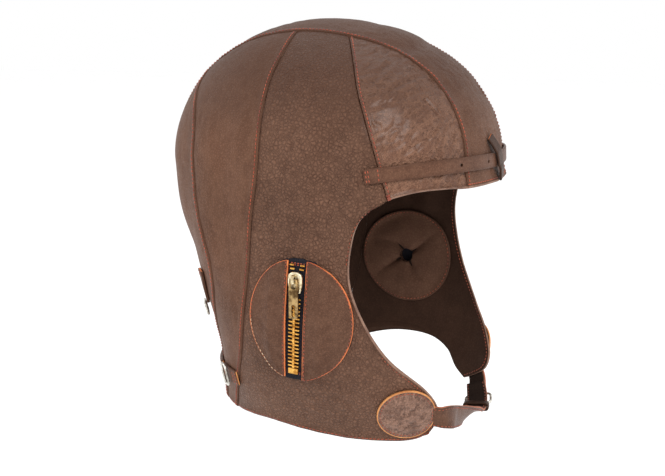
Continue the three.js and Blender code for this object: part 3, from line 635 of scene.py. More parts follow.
# Brown leather: raised grain with fine creases; painted highlight on its tops, painted shade in its grooves
def leatherFinish(name, own):
    look = {**plainLeather, **own}
    f = Finish(
        name, specularIORLevel=look["shine"], specularTint=colour(255, 214, 190),
        coatRoughness=0.24, coatTint=colour(255, 226, 208))
    place = f.place()
    moved = f.wandering(place, 5.0, 1.4)
    large = f.clouds(place, 42, 3, 0.55)
    middle = f.clouds(place, 8, 3, 0.6)
    grain = (f.cells(moved, look["grain"]) * look["raised"]).math("MINIMUM", 1.0)
    cracked = f.cells(f.wandering(place, 3.0, 2.4), look["grain"] * 2.6)
    crackle = 1 - (cracked * 7.0).math("MINIMUM", 1.0)
    crackle = crackle * middle.within(0.42, 0.6) * look["crackle"]
    small = (f.cells(moved, look["grain"] * 0.45) * 3.0).math("MINIMUM", 1.0)
    slanted = f.stretched(place, look["stretch"], look["turn"])
    wave = f.clouds(f.wandering(slanted, 9.0, 3.0), look["crinkleSize"], 3, 0.62)
    ridge = 1 - (wave * 2 - 1).math("ABSOLUTE") * look["sharp"]
    ridge = ridge.math("MAXIMUM", 0.0) * middle.within(0.3, 0.55)
    # speck: small light flecks, painted highlight
    speck = f.clouds(place, 1.3, 2, 0.6).within(0.48, 0.7)
    # crown: painted shade, darker towards the top of the shell
    crown = f.node("ShaderNodeSeparateXYZ", {}, {0: place}, 2).within(-0.08, -0.015)
    # darker within about 2.6 mm of each rim: partly edge wear, partly painted shade along the seams
    burnish = 1 - f.attribute("rim").within(0.2, 2.6)
    tone = (large - 0.5) + (middle - 0.5) * 0.15 + 0.6
    # lit: painted highlight on the raised tops of the grain
    lit = grain * small.within(0.2, 0.9) * look["rub"]
    shade = f.blended(tone.within(0.0, 1.0), look["dark"], look["base"])
    shade = f.blended(lit * (middle * 0.2 + 0.5), shade, look["light"])
    # painted shade in the grooves between the grain's cells
    shade = f.blended((1 - grain) * look["groove"], shade, look["dark"], "MULTIPLY")
    # painted shade along the sunk crack lines
    shade = f.blended(crackle, shade, look["dark"])
    # painted highlight in small flecks
    shade = f.blended(speck * look["speck"], shade, look["light"])
    # painted highlight along the crinkle ridges
    shade = f.blended(ridge * look["ridgeTint"], shade, look["light"])
    # painted shade towards the top of the crown
    shade = f.blended(crown * 0.75, shade, look["dark"])
    # darker near the rims: partly edge wear, partly painted shade
    shade = f.blended(burnish * look["burnish"], shade, look["dark"])
    height = grain * look["grainDepth"] + small * (look["grainDepth"] * 0.35)
    height = height + ridge * look["crinkleDepth"] + middle * 0.10 + speck * 0.05 - crackle * 0.4
    dull = look["roughness"] + (1 - grain) * 0.12 + (middle - 0.5) * 0.18
    f.give(
        baseColor=shade, roughness=dull - ridge * 0.06, coatWeight=look["coat"],
        normal=f.bumped(height, look["bump"]))
    return f.material


# Sizes and depths are in millimetres, the rest are shares from 0 to 1
# Lighter grain tops, flecks and crinkle ridges are painted highlight; darker grooves and cracks are painted
# shade
# darker rims are partly edge wear, partly painted shade
plainLeather = {
    "base": colour(105, 72, 55), "dark": colour(66, 42, 31), "light": colour(144, 108, 86),
    "shine": 0.24, "roughness": 0.44, "coat": 0.08, "speck": 0.1, "burnish": 0.2, "bump": 0.8,
    "grain": 1.2, "raised": 3.2, "grainDepth": 0.14, "rub": 0.2, "groove": 0.25, "crackle": 0.0,
    "crinkleSize": 8, "crinkleDepth": 0.05, "sharp": 3.5, "ridgeTint": 0.12,
    "stretch": (1, 1, 1), "turn": (0, 0, 0),
}
innerLeather = {"shine": 0.15, "coat": 0.0, "grain": 1.8, "grainDepth": 0.03, "rub": 0.12, "groove": 0.15}
leatherLooks = {
    "pebbled": {
        "base": colour(117, 85, 68), "roughness": 0.42, "speck": 0.07, "burnish": 0.35, "bump": 1.0,
        "grain": 2.0, "raised": 3.0, "grainDepth": 0.42, "rub": 0.3, "groove": 0.5, "crackle": 0.45,
        "crinkleDepth": 0.12, "stretch": (1, 1, 1.4),
    },
    "crinkled": {
        "shine": 0.4, "roughness": 0.33, "coat": 0.22, "burnish": 0.35, "bump": 1.0,
        "crinkleSize": 5, "crinkleDepth": 0.9, "ridgeTint": 0.5, "stretch": (1, 1, 3.2),
        "turn": (0.8, 0, 0),
    },
    "soft": {
        "roughness": 0.52, "coat": 0.02, "burnish": 0.35, "grain": 1.5, "grainDepth": 0.18,
        "groove": 0.28, "crackle": 0.12, "crinkleSize": 11, "crinkleDepth": 0.1,
        "stretch": (1, 1, 2.5),
    },
    "patch": {
        "base": colour(95, 65, 50), "coat": 0.06, "burnish": 0.1, "grain": 1.4, "grainDepth": 0.2,
        "rub": 0.25, "groove": 0.32, "crackle": 0.3, "crinkleDepth": 0.12, "stretch": (1, 1, 1.8),
        "turn": (0.6, 0, 0),
    },
    "disc": {
        "base": colour(112, 84, 70), "light": colour(180, 148, 130), "roughness": 0.3, "coat": 0.45,
        "speck": 0.3, "rub": 0.45, "groove": 0.5, "crinkleSize": 4.5, "crinkleDepth": 0.6,
        "sharp": 4.0, "ridgeTint": 0.35, "stretch": (1, 1, 1.5), "turn": (0.5, 0, 0),
    },
    "strap": {
        "base": colour(95, 64, 49), "speck": 0.12, "burnish": 0.5, "grainDepth": 0.06, "rub": 0.25,
        "groove": 0.35, "crinkleSize": 6, "crinkleDepth": 0.08,
    },
    "keeper": {
        "base": colour(58, 38, 29), "dark": colour(34, 22, 17), "light": colour(92, 66, 50),
        "roughness": 0.45, "speck": 0.2, "grainDepth": 0.05, "crinkleSize": 6,
    },
    "lining": {
        **innerLeather, "base": colour(62, 43, 34), "dark": colour(44, 30, 24),
        "light": colour(84, 60, 48), "roughness": 0.66, "crinkleSize": 14,
    },
    "liner": {
        **innerLeather, "base": colour(112, 80, 64), "dark": colour(54, 36, 29),
        "light": colour(110, 82, 66), "roughness": 0.6, "speck": 0.15, "burnish": 0.3,
        "grainDepth": 0.05, "rub": 0.2, "groove": 0.25, "crinkleSize": 12, "crinkleDepth": 0.06,
    },
    "inner": {
        **innerLeather, "base": colour(40, 30, 26), "dark": colour(26, 20, 18),
        "light": colour(60, 46, 40), "roughness": 0.66, "burnish": 0.1, "grain": 1.6,
        "crinkleSize": 10, "crinkleDepth": 0.04,
    },
}
finishes = {name: leatherFinish(name, look) for name, look in leatherLooks.items()}


# Cut leather edge: fibrous, in tan or in greyed brown
def edgeFinish(name, light, dark):
    f = Finish(name)
    place = f.place()
    fibre = f.clouds(f.stretched(place, (1, 1, 0.45)), 0.9, 4, 0.7)
    patchy = f.clouds(place, 9, 2, 0.5)
    shade = f.blended((fibre * 0.6 + patchy * 0.5).within(0.35, 0.75), dark, light)
    f.give(baseColor=shade, roughness=0.62 + fibre * 0.2, normal=f.bumped(fibre * 0.15, 0.7))
    return f.material


edgeLooks = {
    "tanEdge": (colour(226, 158, 92), colour(168, 100, 52)),
    "orangeEdge": (colour(226, 130, 70), colour(176, 84, 42)),
    "redEdge": (colour(188, 112, 78), colour(128, 66, 44)),
    "rollEdge": (colour(146, 112, 92), colour(88, 56, 42)),
}
for name, shades in edgeLooks.items():
    finishes[name] = edgeFinish(name, *shades)


# Waxed sewing thread, twisted from three strands
def threadFinish(name, light, dark):
    f = Finish(name, sheenWeight=0.2)
    place = f.place()
    twist = f.node("ShaderNodeTexWave", {"bands_direction": "DIAGONAL"}, {
        "Vector": place, "Scale": 1 / (1.1 * mm), "Distortion": 1.0})
    worn = f.clouds(place, 16, 2, 0.5)
    shade = f.blended(worn.within(0.35, 0.62), dark, light)
    shade = f.blended((1 - twist) * 0.35, shade, dark)
    f.give(baseColor=shade, roughness=0.6 + twist * 0.1, normal=f.bumped(twist * 0.06, 0.6))
    return f.material


finishes["thread"] = threadFinish("thread", colour(172, 74, 36), colour(116, 42, 24))
finishes["paleThread"] = threadFinish("paleThread", colour(214, 190, 160), colour(176, 130, 98))


# Woven zip tape, whose ribs lean with the zip
zipLean = 0.063


def tapeFinish():
    f = Finish("tape", specularIORLevel=0.15)
    turned = f.stretched(f.place(), (1, 1, 1), (-zipLean, 0, 0))
    ribs = f.node("ShaderNodeTexWave", {"bands_direction": "Z"}, {
        "Vector": turned, "Scale": 1 / (2.6 * mm), "Distortion": 0.4})
    warp = f.node("ShaderNodeTexWave", {"bands_direction": "Y"}, {
        "Vector": turned, "Scale": 1 / (3.4 * mm), "Distortion": 0.4})
    weave = ribs * 0.6 + warp * 0.4
    shade = f.blended(weave, colour(12, 12, 15), colour(40, 38, 46))
    f.give(baseColor=shade, roughness=0.85 - weave * 0.1, normal=f.bumped(weave * 0.2, 0.8))
    return f.material


finishes["tape"] = tapeFinish()


# Worn metal: patchy, with brighter and darker stains
def metalFinish(name, bright, dull, roughness):
    f = Finish(name, metallic=1.0)
    place = f.place()
    stains = f.clouds(place, 3.5, 4, 0.65)
    scuffs = f.clouds(f.stretched(place, (1, 1, 5)), 0.7, 3, 0.6)
    shade = f.blended(stains.within(0.36, 0.62), dull, bright)
    f.give(
        baseColor=shade, roughness=roughness + (1 - stains) * 0.22 + scuffs * 0.12,
        normal=f.bumped(scuffs * 0.04 + stains * 0.05, 0.5))
    return f.material


metalLooks = {
    "brass": (colour(184, 154, 106), colour(92, 70, 44), 0.3),
    "teeth": (colour(236, 184, 96), colour(176, 122, 54), 0.24),
    "slider": (colour(240, 228, 196), colour(176, 154, 112), 0.2),
    "steel": (colour(232, 230, 222), colour(150, 144, 134), 0.2),
    "darkSteel": (colour(92, 88, 80), colour(48, 44, 40), 0.4),
}
for name, look in metalLooks.items():
    finishes[name] = metalFinish(name, *look)
print("finishes ready")

# Looks of the shell's panels: crumple is in millimetres of relief
panelLooks = {
    "temple": {"finish": "crinkled", "crumple": 0.85, "wrinkle": 4.2, "swell": 0.5},
    "side": {"finish": "pebbled", "crumple": 0.16, "wrinkle": 5.0, "swell": 0.5},
    "rearSide": {"finish": "soft", "crumple": 0.14, "wrinkle": 6.0, "swell": 0.7},
    "rear": {"finish": "soft", "crumple": 0.16, "wrinkle": 6.0, "swell": 0.7},
    "strip": {"finish": "soft", "crumple": 0.42, "wrinkle": 7.0, "swell": 0.8},
}
seamLook = {
    "radius": 0.8, "backRadius": 0.6, "lap": 0.4, "sunk": 0.35, "hem": 0.35, "pucker": 0.32,
    "puckerSize": 4.4, "puckerReach": 5, "roll": 0.8, "rollWide": 1.2, "rollCrest": (0.9, 0.65),
    "ditch": 0.3, "ditchLine": (2.2, 0.6),
}
slant = unit(np.array([0.70, -0.47, 0.54]))


# relief of one panel over its form, in millimetres, and the distance to its rims
def panelRelief(base, look, runs, kinds):
    side = np.sign(base[..., 0].mean() + 1e-9)
    along = (base * slant * [-side, 1, 1]).sum(-1, keepdims=True)
    drawn = base - slant * along * 0.62
    ridged = 1 - np.abs(noise(drawn, look["wrinkle"], 1) * 2 - 1)
    finer = 1 - np.abs(noise(drawn, look["wrinkle"] * 0.5, 2) * 2 - 1)
    where = smooth(0.3, 0.65, noise(base, 26, 3))
    relief = -look["crumple"] * where * (ridged**3 + 0.45 * finer**3)
    relief += look["swell"] * (noise(base, 24, 4) - 0.5) - creaseDepth(base)
    puckered = seamLook["pucker"] * (noise(base, seamLook["puckerSize"], 5) - 0.5)
    closest = np.full(base.shape[:-1], 1e9)
    for rim, stretches in kinds.items():
        s = runs[rim]
        closest = np.minimum(closest, s)
        for kind, share in stretches:
            change = np.exp(-s / seamLook["puckerReach"]) * puckered
            if kind == "over":
                change += seamLook["lap"] * (1 - smooth(2.4, 4.6, s))
            if kind == "under":
                change -= seamLook["sunk"] * (1 - smooth(0, 4.5, s))
            if kind == "free":
                change += seamLook["hem"] * (1 - smooth(3.8, 5.4, s))
            if kind == "rolled":
                for high, (at, wide) in ((seamLook["roll"], seamLook["rollCrest"]),
                                         (-seamLook["ditch"], seamLook["ditchLine"])):
                    change += high * bell(s - at, wide)
            relief += share * change
    return relief, closest


def addPanel(name, node, cells, look, kinds):
    base = onForm(cells)
    fold = foldDepth(base)
    runs = rimRuns(base)
    relief, closest = panelRelief(base, look, runs, kinds)
    free = np.zeros(closest.shape)
    rolled = np.full(closest.shape, 99.0)
    for rim, stretches in kinds.items():
        for kind, share in stretches:
            if kind in ("free", "rolled"):
                free = np.maximum(free, share * (runs[rim] < 1.5))
            if kind == "rolled":
                rolled = np.minimum(rolled, runs[rim] + 99 * (1 - share))
    calm = mix(0.75, 1, smooth(0, 4, closest))
    high = relief * calm - fold - rounding(closest, seamLook["radius"])
    low = -leather["wall"] - fold + free * rounding(closest, seamLook["backRadius"])
    low += 0.35 * (noise(base, 16, 6) - 0.5)
    return addSheet(
        name, node, base, high, low, (look["finish"], "lining", "rollEdge"), closest,
        marked=rimCells(rolled, seamLook["rollWide"]))


panels = {}
edges = {name: edgesOf(name, sign) for name, sign in sides.items()}
for name in sides:
    e = edges[name]
    lower = np.concatenate([e["temple"], e["face"][1:]])
    seamed = smooth(fine["crown"] + 3, fine["crown"] - 1, gridLines(len(lower) - 1))[:, None]
    cells = {
        "temple": (e["midToTemple"], e["browTemple"], e["browToMid"][::-1], e["temple"]),
        "side": (e["templeToEar"], e["hemSide"], lower, e["ear"]),
        "rearSide": (e["earToRear"], e["hemRearSide"], e["ear"], e["rear"]),
        "rear": (np.repeat(e["rear"][:1], fine["rear"] + 1, axis=0), e["hemRear"], e["rear"],
                 e["rearToHem"]),
    }
    kinds = {
        "temple": {"top": [("under", 1)], "left": [("under", 1)], "right": [("over", 1)],
                   "bottom": [("rolled", 1)]},
        "side": {"top": [("under", 1)], "left": [("under", seamed), ("rolled", 1 - seamed)],
                 "right": [("under", 1)], "bottom": [("free", 1)]},
        "rearSide": {"top": [("under", 1)], "left": [("over", 1)], "right": [("under", 1)],
                     "bottom": [("free", 1)]},
        "rear": {"left": [("over", 1)], "right": [("under", 1)], "bottom": [("free", 1)]},
    }
    titles = {"temple": "temple", "side": "side", "rearSide": "rear_side", "rear": "rear"}
    for part, title in titles.items():
        grid = spanned(*cells[part])
        if part == "rear":
            grid[0] = mix(e["rear"][0], (e["rear"][6] + e["rearToHem"][6]) / 2, 0.12)
        panels[part, name] = addPanel(
            f"{title}_{name}", f"{title}_panel_{name}", grid, panelLooks[part], kinds[part])


def stripSide(e):
    parts = [e[k] for k in ("browToMid", "midToTemple", "templeToEar", "earToRear", "rearToHem")]
    return np.concatenate([parts[0]] + [part[1:] for part in parts[1:]])


right, left = edges["right"], edges["left"]
panels["strip"] = addPanel(
    "centre_strip", "crown_strip",
    spanned(np.concatenate([right["browStrip"][::-1], left["browStrip"][1:]]),
            np.concatenate([right["hemStrip"], left["hemStrip"][-2::-1]]),
            stripSide(right), stripSide(left)),
    panelLooks["strip"],
    {"left": [("over", 1)], "right": [("over", 1)], "top": [("rolled", 1)], "bottom": [("free", 1)]})
print("shell made")

# Sewing. A stitch is a short bent strand whose ends dive into the leather.
stitch = {"pitch": 2.25, "long": 1.75, "thick": 0.58, "rise": 0.20, "sides": 6, "steps": 5}
sewn = {}


def stitchShape(s):
    t = np.linspace(-1, 1, s["steps"])
    turn = np.linspace(0, 2 * math.pi, s["sides"], endpoint=False)
    radius = s["thick"] / 2 * (1 - 0.55 * t**4)
    x = np.repeat(t * s["long"] / 2, s["sides"])
    y = (radius[:, None] * np.cos(turn)).ravel()
    z = (radius[:, None] * np.sin(turn) + (s["rise"] * (1 - 1.6 * t**2))[:, None]).ravel()
    n, faces = s["sides"], []
    for k in range(s["steps"] - 1):
        for i in range(n):
            j = (i + 1) % n
            faces.append([k * n + i, k * n + j, (k + 1) * n + j, (k + 1) * n + i])
    caps = [list(range(n))[::-1], [(s["steps"] - 1) * n + i for i in range(n)]]
    return np.stack([x, y, z], -1), faces + caps


stitchPoints, stitchFaces = stitchShape(stitch)


# copies of one small shape, each with its own centre and axes
def copies(points, faces, centres, ax, ay, az):
    c, x, y, z = (np.asarray(v, float)[:, None] for v in (centres, ax, ay, az))
    placed = c + points[None, :, :1] * x + points[None, :, 1:2] * y + points[None, :, 2:] * z
    many = [[i + k * len(points) for i in face] for k in range(len(placed)) for face in faces]
    return placed.reshape(-1, 3), many


# several shapes as one
def joined(shapes):
    points, faces, start = [], [], 0
    for p, f in shapes:
        points.append(p)
        faces += [[i + start for i in face] for face in f]
        start += len(p)
    return np.concatenate(points), faces


# a row of stitches along a line of the leather's face
def sew(group, line, normals, pitch=stitch["pitch"], thread="thread", size=1.0):
    run = np.concatenate([[0], np.cumsum(np.linalg.norm(np.diff(line, axis=0), axis=1))])
    count = max(1, int(run[-1] / pitch))
    places = (np.arange(count) + 0.5) * run[-1] / count
    at = lambda values, far: np.stack([np.interp(far, run, values[:, k]) for k in range(3)], -1)
    along = unit(at(line, places + 0.6) - at(line, places - 0.6))
    out = unit(at(normals, places))
    out = unit(out - along * (out * along).sum(-1, keepdims=True))
    aside = np.cross(out, along)
    lean = random.normal(0, 0.06, (count, 1)) + 0.10
    along = unit(along + aside * lean)
    aside = np.cross(out, along)
    longer = random.uniform(0.92, 1.06, (count, 1)) * min(1.0, pitch / stitch["pitch"]) * size
    row = copies(
        stitchPoints, stitchFaces, at(line, places), along * longer, aside * size, out * size)
    sewn.setdefault((group, thread), []).append(row)


# a line on a grid's face, at one distance from one of its rims
def besideRim(panel, rim, distance, start=0.0, stop=1.0, inside=False):
    grid = panel.inner if inside else panel.outer
    normal = -panel.normal if inside else panel.normal
    runs = panel.runs[rim]
    if rim in ("top", "bottom"):
        grid, normal, runs = np.swapaxes(grid, 0, 1), np.swapaxes(normal, 0, 1), runs.T
    if rim in ("right", "bottom"):
        grid, normal, runs = grid[:, ::-1], normal[:, ::-1], runs[:, ::-1]
    chosen = range(int(start * (len(grid) - 1)), int(stop * (len(grid) - 1)) + 1)
    pick = lambda values, j: [np.interp(distance, runs[j], values[j][:, k]) for k in range(3)]
    line = np.array([pick(grid, j) for j in chosen])
    return line, np.array([pick(normal, j) for j in chosen])


faceShare = fine["crown"] / (fine["crown"] + fine["face"])
for name in sides:
    group = f"stitches_{name}"
    temple, side, rearSide, rear = (panels[part, name] for part in ("temple", "side", "rearSide", "rear"))
    sew(group, *besideRim(temple, "right", 1.5))
    for knot in (0.2, 1.0):
        sew(group, *besideRim(temple, "right", knot, 0.95, 1.0), pitch=1.2, size=1.3)
    sew(group, *besideRim(rearSide, "left", 1.5, 0.02, 0.99))
    sew(group, *besideRim(rear, "left", 1.5, 0.03, 0.99))
    stripRim = "left" if name == "right" else "right"
    sew(group, *besideRim(panels["strip"], stripRim, 1.5, 0.01, 0.99))
    for start, stop in ((faceShare + 0.01, faceShare + 0.12), (0.8, 0.985)):
        sew(group, *besideRim(side, "left", 2.2, start, stop), size=0.75)
    sew(group, *besideRim(side, "left", 1.9, faceShare + 0.02, 0.985, inside=True), size=0.85)
    for piece in (side, rearSide, rear):
        sew(group, *besideRim(piece, "bottom", 2.0, 0.02, 0.98))
for rim in ("top", "bottom"):
    sew("stitches_strip", *besideRim(panels["strip"], rim, 2.2, 0.03, 0.97))
print("seams sewn")

# Round zipped pocket over each ear
pocket = {
    "y": -16.3, "z": -163.8, "front": 33.7, "rear": 26.3, "halfTall": 35.3, "lean": zipLean,
    "slot": 5.0, "rows": 70, "columns": 24, "puff": 1.1, "swell": 0.9, "wrinkle": 0.25, "pucker": 0.25,
    "rim": 0.6,
}
tape = {
    "wide": 20, "tall": 71.4, "thick": 0.8, "frayed": 0.8, "cord": 0.35, "cordAt": 4.0, "dent": 0.15,
}


# across is towards the back, up is along the zip
def pocketPoint(sign, across, up):
    y = pocket["y"] + across - pocket["lean"] * up
    z = pocket["z"] + up + pocket["lean"] * across
    return np.stack(np.broadcast_arrays(sign * 80.0, y, z), -1)


def pocketHalf(part, name, sign, way):
    wide = pocket["front"] if way < 0 else pocket["rear"]
    end = math.acos((pocket["slot"] + 1.6) / wide)
    v = (gridLines(pocket["rows"]) / pocket["rows"])[:, None]
    u = (gridLines(pocket["columns"]) / pocket["columns"])[None]
    angle = mix(-end, end, v)
    across = mix(pocket["slot"], wide * np.cos(angle), u)
    base = onForm(pocketPoint(sign, way * across, pocket["halfTall"] * np.sin(angle) + 0 * u))
    runs = rimRuns(base)
    closest = np.minimum(runs["left"], runs["right"])
    overTape = leather["lay"] + tape["thick"] + leather["fit"]
    low = mix(overTape, leather["lay"], smooth(tape["wide"] / 2 + 3, tape["wide"] / 2 + 9, across))
    low = low - foldDepth(base)
    puff = pocket["puff"] * smooth(0, 13, closest)
    puff += pocket["swell"] * (noise(base, 13, 8) - 0.5) * smooth(0, 5, closest)
    ridged = 1 - np.abs(noise(base, 4.5, 9) * 2 - 1)
    wrinkled = pocket["wrinkle"] * smooth(0.35, 0.7, noise(base, 18, 10)) * ridged**3
    pucker = pocket["pucker"] * np.exp(-closest / 3) * (noise(base, 3.6, 11) - 0.5)
    high = low + leather["thin"] + puff - wrinkled + pucker - rounding(closest, 0.45)
    return addSheet(
        f"pocket_{part}_{name}", f"ear_pocket_{part}_{name}", base, high, low,
        ("patch", "lining", "orangeEdge"), closest, marked=rimCells(closest, pocket["rim"]))


for name, sign in sides.items():
    group = f"stitches_pocket_{name}"
    for part, way in {"front": -1, "rear": 1}.items():
        panel = pocketHalf(part, name, sign, way)
        worn = 0.48 if part == "rear" else 0.01
        sew(group, *besideRim(panel, "right", 0.9, worn, 0.99), size=0.8)
        if part == "rear":
            sew(group, *besideRim(panel, "right", 0.9, 0.01, worn), thread="paleThread", size=0.8)
        sew(group, *besideRim(panel, "left", 1.2, 0.01, 0.99), size=0.85)
print("pockets made")


# small bevelled box, read as points and faces
def bevelledBox(size, bevel, segments=2):
    work = bmesh.new()
    bmesh.ops.create_cube(work, size=1)
    bmesh.ops.scale(work, vec=size, verts=work.verts)
    bmesh.ops.bevel(work, geom=work.edges[:], offset=bevel, segments=segments, affect="EDGES", profile=0.5)
    points = np.array([v.co for v in work.verts])
    faces = [[v.index for v in face.verts] for face in work.faces]
    work.free()
    return points, faces


# flat plate with holes and rounded rims, from outlines in its own plane
def plateShape(outlines, thick, bevel):
    curve = bpy.data.curves.new("plate", "CURVE")
    curve.dimensions = "2D"
    curve.fill_mode = "BOTH"
    curve.extrude = thick / 2 - bevel
    curve.bevel_depth = bevel
    curve.bevel_resolution = 3
    curve.offset = -bevel
    for outline in outlines:
        spline = curve.splines.new("POLY")
        spline.points.add(len(outline) - 1)
        for spot, (x, y) in zip(spline.points, outline):
            spot.co = (x, y, 0, 1)
        spline.use_cyclic_u = True
    holder = bpy.data.objects.new("plate", curve)
    bpy.context.scene.collection.objects.link(holder)
    graph = bpy.context.evaluated_depsgraph_get()
    mesh = bpy.data.meshes.new_from_object(holder.evaluated_get(graph))
    points = np.array([v.co for v in mesh.vertices])
    faces = [list(p.vertices) for p in mesh.polygons]
    bpy.data.objects.remove(holder)
    bpy.data.curves.remove(curve)
    bpy.data.meshes.remove(mesh)
    return points, faces


# outline of a rounded rectangle, counter-clockwise
def roundedOutline(wide, tall, radius, steps=6, centre=(0, 0)):
    points = []
    for k, (sx, sy) in enumerate([(1, -1), (1, 1), (-1, 1), (-1, -1)]):
        turn = np.linspace(-math.pi / 2, 0, steps + 1) + k * math.pi / 2
        for a in turn:
            points.append((centre[0] + sx * (wide / 2 - radius) + radius * math.cos(a),
                           centre[1] + sy * (tall / 2 - radius) + radius * math.sin(a)))
    return points


# centre, across, up and outward directions at a point of the zip
def zipFrame(sign, across, up, lift):
    across, up = np.broadcast_arrays(np.asarray(across, float), np.asarray(up, float))
    centre, out = onSkin(pocketPoint(sign, across, up), lift)
    ahead, _ = onSkin(pocketPoint(sign, across, up + 0.5), lift)
    upwards = unit(ahead - centre)
    return centre, np.cross(upwards, out), upwards, out


zipLook = {
    "pitch": 2.2, "bottom": -27.7, "top": 15.8, "reach": 3.15, "tooth": (2.6, 1.05, 1.3), "bevel": 0.26,
    "open": [(30.0, 3.2), (32.2, 3.5)], "spine": (1.5, 1.9), "knuckle": 1.1,
}
slider = {"wide": 8.8, "tall": 12, "thick": 2.4, "up": 22.6, "seat": 2.1}
bail = {"wide": 1.8, "wire": 1.1, "rootWire": 1.5, "sunk": 0.5, "holeTall": 3.2, "holeDeep": 2.4, "up": 2.2}
bailDeep = bail["holeDeep"] + (bail["wire"] + bail["rootWire"]) / 2 + 0.1
pull = {"wide": 5.6, "tall": 22.5, "thick": 1.3, "bar": 1.0, "windowTall": 5.2, "slotTall": 6.5}
zipStop = {"size": (5.9, 3.5, 1.7), "up": -29.7, "bevel": 0.35}


def zipTape(name, sign):
    v, u = np.linspace(0.5, -0.5, 100)[:, None], np.linspace(-0.5, 0.5, 49)[None]
    across = u * tape["wide"]
    place = np.stack(np.broadcast_arrays(across, sign * 9.0, v * 0), -1)
    frayed = tape["frayed"] * (noise(place, 1.1, 3) - 0.5)
    wide = np.where(across < 0, pocket["front"], pocket["rear"])
    reach = tape["tall"] / 2 - pocket["halfTall"] * (1 - np.sqrt(1 - (across / wide) ** 2))
    up = 2 * v * reach + frayed * (np.abs(v) > 0.49)
    base = onForm(pocketPoint(sign, across, up))
    low = leather["lay"] - foldDepth(base)
    cord = tape["cord"] * bell(np.abs(across) - tape["cordAt"], 0.45)
    high = low + tape["thick"] + cord - tape["dent"] * bell(across, 0.4)
    closest = np.minimum.reduce(list(rimRuns(base).values()))
    addSheet(f"zip_tape_{name}_woven", f"zip_tape_{name}", base, high, low,
             ("tape", "tape", "tape"), closest)


def zipTeeth(name, sign):
    long, _, thick = zipLook["tooth"]
    seat = leather["lay"] + tape["thick"] + leather["fit"] + thick / 2
    points, faces = bevelledBox(zipLook["tooth"], zipLook["bevel"])
    points[points[:, 0] > 0, 1] *= 0.82
    rows = int((zipLook["top"] - zipLook["bottom"]) / zipLook["pitch"])
    seatAcross = zipLook["reach"] - long / 2
    teeth = [(way * seatAcross, zipLook["bottom"] + (k + 0.5 + way * 0.06) * zipLook["pitch"], way)
             for k in range(rows) for way in (-1, 1)]
    teeth += [(way * (reach - 0.6), height, way) for height, reach in zipLook["open"] for way in (-1, 1)]
    across, up, way = np.array(teeth).T
    centre, aside, upwards, out = zipFrame(sign, across, up, seat)
    chain = copies(points, faces, centre, -aside * way[:, None], upwards, out)
    wide, deep = zipLook["spine"]
    rungs = np.arange(zipLook["bottom"] + 0.6, zipLook["top"] - 0.5, zipLook["knuckle"])
    knuckle = bevelledBox((wide, zipLook["knuckle"] + 0.12, deep), 0.4)
    spine = copies(*knuckle, *zipFrame(sign, 0 * rungs, rungs, seat))
    made = newObject(f"zip_chain_{name}", *joined([chain, spine]), [finishes["teeth"]])
    standFor(f"zip_teeth_{name}")


def zipSlider(name, sign):
    seat = onSkin(pocketPoint(sign, 0.0, slider["up"]), slider["seat"])[0]
    w, h = slider["wide"] / 2, slider["tall"] / 2
    plan = [(-w * 0.66, -h), (w * 0.66, -h), (w * 0.8, -h * 0.8), (w, -h * 0.1), (w, h * 0.5),
            (w * 0.86, h * 0.8), (w * 0.36, h), (-w * 0.36, h), (-w * 0.86, h * 0.8),
            (-w, h * 0.5), (-w, -h * 0.1), (-w * 0.8, -h * 0.8)]
    body, bodyFaces = plateShape([plan], slider["thick"], 0.75)
    body = np.stack([body[:, 2] + slider["thick"] / 2, body[:, 0], body[:, 1]], -1)
    arch = roundedOutline(bailDeep, bail["holeTall"] + 2 * bail["wire"], 1.5)
    eye = roundedOutline(bail["holeDeep"], bail["holeTall"], 0.7)[::-1]
    loop, loopFaces = plateShape([arch, eye], bail["wide"], 0.4)
    middle = slider["thick"] - bail["sunk"] + bailDeep / 2
    loop = np.stack([loop[:, 0] + middle, loop[:, 2], loop[:, 1] + bail["up"]], -1)
    flip = [sign, sign, 1]
    shapes = [(body * flip + seat, bodyFaces), (loop * flip + seat, loopFaces)]
    made = newObject(f"slider_{name}", *joined(shapes), [finishes["slider"]])
    standFor(f"zip_slider_{name}")
    eyeAt = seat + np.array([sign * middle, 0, bail["up"]])
    w = pull["wide"] / 2
    foot = [(w * math.cos(a), -pull["tall"] + w * 0.7 + w * 0.7 * math.sin(a))
            for a in np.linspace(math.pi, 2 * math.pi, 13)]
    tab = [(-w * 0.8, pull["bar"] / 2), (-w, -pull["windowTall"]), *foot,
           (w, -pull["windowTall"]), (w * 0.8, pull["bar"] / 2)]
    window = roundedOutline(w, pull["windowTall"] - pull["bar"] / 2, 0.6, centre=(
        0, -(pull["windowTall"] + pull["bar"] / 2) / 2))
    slotFoot = -pull["tall"] + 1.6
    slot = roundedOutline(w * 0.7, pull["slotTall"], 0.6, centre=(0, slotFoot + pull["slotTall"] / 2))
    plate, plateFaces = plateShape([tab, window, slot], pull["thick"], 0.32)
    plate = np.stack([plate[:, 2], plate[:, 0], plate[:, 1]], -1) * flip + eyeAt
    made = newObject(f"pull_{name}", plate, plateFaces, [finishes["brass"]], body=f"zip_pull_{name}")
    standFor(f"zip_pull_{name}")


def zipEnd(name, sign):
    wide, tall, thick = zipStop["size"]
    lift = leather["lay"] + tape["thick"] + leather["fit"] + thick / 2
    block = bevelledBox((wide, tall, thick), zipStop["bevel"])
    placed = copies(*block, *zipFrame(sign, [0.0], [zipStop["up"]], lift))
    made = newObject(f"stop_{name}", *placed, [finishes["teeth"]])
    standFor(f"zip_stop_{name}")


